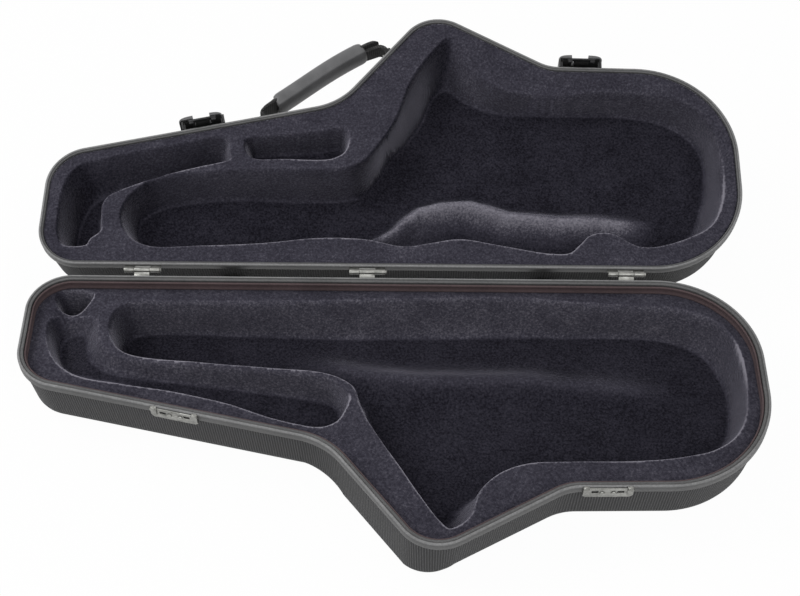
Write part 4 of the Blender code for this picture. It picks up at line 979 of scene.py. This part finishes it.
def refine(node, body, bevel):
    source = frame["nodes"][node]
    slot = "black_steel" if "latch_rivet" in node else source.data.materials[0].name.split(".")[0]
    piece = new_object(node + "_made", source.data.copy())
    edit_all(piece)
    bpy.ops.mesh.remove_doubles(threshold=1e-6)
    bpy.ops.mesh.dissolve_limited(angle_limit=math.radians(1.0))
    bpy.ops.object.mode_set(mode="OBJECT")
    if bevel:
        modifier = piece.modifiers.new("worn edge", "BEVEL")
        modifier.width = bevel * MM
        modifier.segments = 2
        modifier.limit_method = "ANGLE"
        modifier.angle_limit = math.radians(38.0)
        bpy.ops.object.modifier_apply(modifier=modifier.name)
    smooth(piece, 38.0)
    hand_over(piece, slot, body, node)


made = {"base_shell", "lid_shell", "base_rim", "lid_rim", "base_gasket", *base_blocks, "lid_lining",
        "handle_grip"}
left = [(node, body) for body, nodes in frame["record"]["behaviour"]["bodies"].items()
        for node in nodes if node not in made]
for node, body in left:
    refine(node, body, next(width for part, width in BEVELS.items() if part in node))
print("refined", len(left), "parts")

# %% [markdown]
# ## Latch covers and keeper ears
#
# Two forms are rounder than the CAD solids. The lever's outside is a thick arched cover in a paler
# grey copy of its black plastic, painted light that makes it show as a pale band over the dark
# hollow, with a window where the claw swings through. Each keeper has two round ears that stand a
# little over the rim. Both are set in the frame of a straight edge: along it, out of the case, and
# down.

# %% Frame of an edge, and the arched cover of a lever
def edge_frame(half, index, x):
    """Matrix of a place on an edge: x runs along it, y out of the case, z into its depth."""
    a, b = (Vector(CORNERS[index + k][:2]) for k in (0, 1))
    along = (b - a).normalized()
    spot = a.lerp(b, (x - a.x) / (b.x - a.x))
    local = Matrix(((along.x, along.y, 0, spot.x * MM), (along.y, -along.x, 0, spot.y * MM),
                    (0, 0, 1, 0), (0, 0, 0, 1)))
    return HALVES[half] @ local


def middle_x(node, half):
    low, high = (Vector(p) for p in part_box(node))
    return (HALVES[half].inverted() @ ((low + high) / 2.0)).x / MM


LATCH_EDGES = {"left": 1, "right": 4}
COVER_HALF_WIDTH, COVER_FOOT, COVER_RISE = 20.7, 9.6, 6.0
INSIDE_HALF_WIDTH, INSIDE_OUT, SHRINKS_TO = 18.4, 12.2, 12.4
COVER_SIZES = ((3.0, 0.90), (3.3, 1.0), (12.0, 1.0), (22.0, 0.98), (28.0, 0.92), (31.5, 0.8),
               (33.6, 0.55), (34.2, 0.25))
WINDOW_HALF_WIDTH, WINDOW_END = 8.0, 15.2

for side, edge in LATCH_EDGES.items():
    lever = "latch_lever_" + side
    middle = middle_x(lever, "lid")
    matrix = edge_frame("lid", edge, middle)
    rings = []
    for depth, scale in COVER_SIZES:
        ring = []
        for k in range(25):
            angle = math.pi * k / 24
            x = COVER_HALF_WIDTH * math.copysign(abs(math.cos(angle))**0.42, math.cos(angle))
            out = COVER_FOOT + COVER_RISE * math.sin(angle)**0.75
            ring.append((x, SHRINKS_TO + (out - SHRINKS_TO) * scale))
        ring += [(-INSIDE_HALF_WIDTH + 2.0 * INSIDE_HALF_WIDTH * k / 12, INSIDE_OUT)
                 for k in range(13)]
        rings.append([matrix @ (Vector((x, out, depth)) * MM) for x, out in ring])
    cover = pull_ring("latch_cover_" + side, rings)
    claw = middle_x("latch_claw_" + side, "lid") - middle
    low, high = (claw - WINDOW_HALF_WIDTH, 2.0, 2.0), (claw + WINDOW_HALF_WIDTH, 20.0, WINDOW_END)
    cut(cover, add_block(low, high, matrix))
    smooth(cover, 40.0)
    hand_over(cover, "black_plastic", lever, lever)
    # The cover's black plastic is swapped for its paler copy: painted light on its outside.
    cover.data.materials[0] = finishes["painted_lit_plastic"]
    print(cover.name, len(cover.data.polygons), "faces")

# %% Round ears of the keepers
EAR_RADIUS, EAR_LENGTH, EAR_BEVEL = 2.7, 3.4, 0.8
for side, edge in LATCH_EDGES.items():
    keeper = "keeper_" + side
    for number, x in enumerate((-18.1, 18.1), 1):
        deselect()
        bpy.ops.mesh.primitive_cylinder_add(vertices=28, radius=EAR_RADIUS * MM,
                                            depth=EAR_LENGTH * MM)
        ear = bpy.context.object
        ear.name = f"{keeper}_ear_{number}"
        edit_all(ear)
        bpy.ops.mesh.bevel(offset=EAR_BEVEL * MM, segments=3, affect="EDGES")
        bpy.ops.object.mode_set(mode="OBJECT")
        ear.data.transform(edge_frame("base", edge, middle_x(keeper, "base"))
                           @ Matrix.Translation(Vector((x, 2.0, 0.3)) * MM)
                           @ Matrix.Rotation(math.pi / 2, 4, "X"))
        smooth(ear, 60.0)
        hand_over(ear, "bright_nickel", "base", keeper)

# %% [markdown]
# ## Handle
#
# The handle is a strap of ridged webbing with a padded grip sewn round it. The strap rises from one
# pin, bends over, runs in a bow to the other side and goes down to its pin. Both parts are pulled
# as rings along that same path: first the webbing, wide where it leaves the grip, then the grip,
# oval in section, with a raised edge along its seam and ends that are cut in an arch.

# %% Frame of the handle: from pin to pin, 29 mm below the lid's rim
PIN_OUT, PIN_DEPTH = 9.0, 29.0
to_pin = Vector((0.0, PIN_OUT, PIN_DEPTH)) * MM
pins = [LID.inverted() @ edge_frame("lid", index, x) @ to_pin / MM
        for index, x in ((1, -123.5), (2, -0.975))]
chord = pins[1] - pins[0]
SPAN = chord.length
along_chord = Matrix.Rotation(math.atan2(chord.y, chord.x), 4, "Z")
HANDLE = LID @ Matrix.Translation(pins[0] * MM) @ along_chord
print("handle span:", round(SPAN, 1), "mm")


# %% Path of the strap, and a ring across it
BEND = 7.0


def bow_at(x):
    """Height over the line between the pins, lower at the left as the strap hangs, and the lean."""
    def height(x):
        share = (x - BEND) / (SPAN - 2.0 * BEND)
        return 10.6 + (1.0 + 7.0 * share) * math.sin(math.pi * share) + 6.0 * share**3
    return height(x), math.atan((height(x + 0.1) - height(x - 0.1)) / 0.2)


def ring_across(x, height, lean, section):
    """Points of a section (out, up) in mm, set square to the strap at x."""
    return [HANDLE @ (Vector((x + out * math.sin(lean), -(height + out * math.cos(lean)), up)) * MM)
            for out, up in section]


def flat_oval(half_out, half_up, power, count=28):
    """Rounded section: a low power gives a flat strap, 1 gives an ellipse."""
    section = []
    for k in range(count):
        out, up = math.cos(math.tau * k / count), math.sin(math.tau * k / count)
        section.append((half_out * math.copysign(abs(out)**power, out),
                        half_up * math.copysign(abs(up)**power, up)))
    return section


# %% Webbing between the bends
STRAP_HALF_THICK, STRAP_HALF_WIDTH, STRAP_SPREAD = 2.1, 9.0, 2.6
rings = []
for k in range(49):
    x = 3.0 + (SPAN - 6.0) * k / 48
    height, lean = bow_at(min(max(x, BEND), SPAN - BEND))
    drop = max(0.0, BEND - min(x, SPAN - x))
    height -= BEND - math.sqrt(BEND**2 - drop * drop)
    lean += math.copysign(math.asin(drop / BEND), SPAN / 2.0 - x) if drop else 0.0
    width = STRAP_HALF_WIDTH + STRAP_SPREAD * float(ease(min(x, SPAN - x) / 14.0))
    rings.append(ring_across(x, height, lean, flat_oval(STRAP_HALF_THICK, width, 0.45)))
webbing = pull_ring("handle_webbing", rings)
smooth(webbing, 40.0)
hand_over(webbing, "webbing", "handle", "handle_strap")
print(webbing.name, len(webbing.data.polygons), "faces")

# %% Padded grip
GRIP, GRIP_HALF_THICK, GRIP_HALF_WIDTH, ARCH = 104.0, 9.2, 12.0, 5.0
grip_start = (SPAN - GRIP) / 2.0
ends = [0.0, 0.0, 0.006, 0.02, 0.045]
shares = ends + [k / 28 for k in range(2, 27)] + [1.0 - share for share in ends[::-1]]
rings = []
for number, share in enumerate(shares):
    end = min(share, 1.0 - share)
    size = 0.86 + 0.14 * min(1.0, end / 0.035)**0.5
    size *= 0.5 if number in (0, len(shares) - 1) else 1.0
    ring = []
    for out, up in flat_oval(GRIP_HALF_THICK * size, GRIP_HALF_WIDTH * size, 0.86, 44):
        seam = 1.0 + 0.06 * math.exp(-(((out / size + 6.0) / 1.3)**2)) * (up < 0.0)
        arch = ARCH * max(0.0, 1.0 - (up / size / 10.0)**2) * (out > -4.0)
        arch *= math.exp(-end * GRIP / 7.0)
        x = grip_start + GRIP * share + math.copysign(arch, 0.5 - share)
        ring += ring_across(x, *bow_at(x), [(out * seam, up * seam)])
    rings.append(ring)
grip = pull_ring("handle_grip_sleeve", rings)
smooth(grip, 60.0)
hand_over(grip, "grip_leather", "handle", "handle_grip")
print(grip.name, len(grip.data.polygons), "faces")
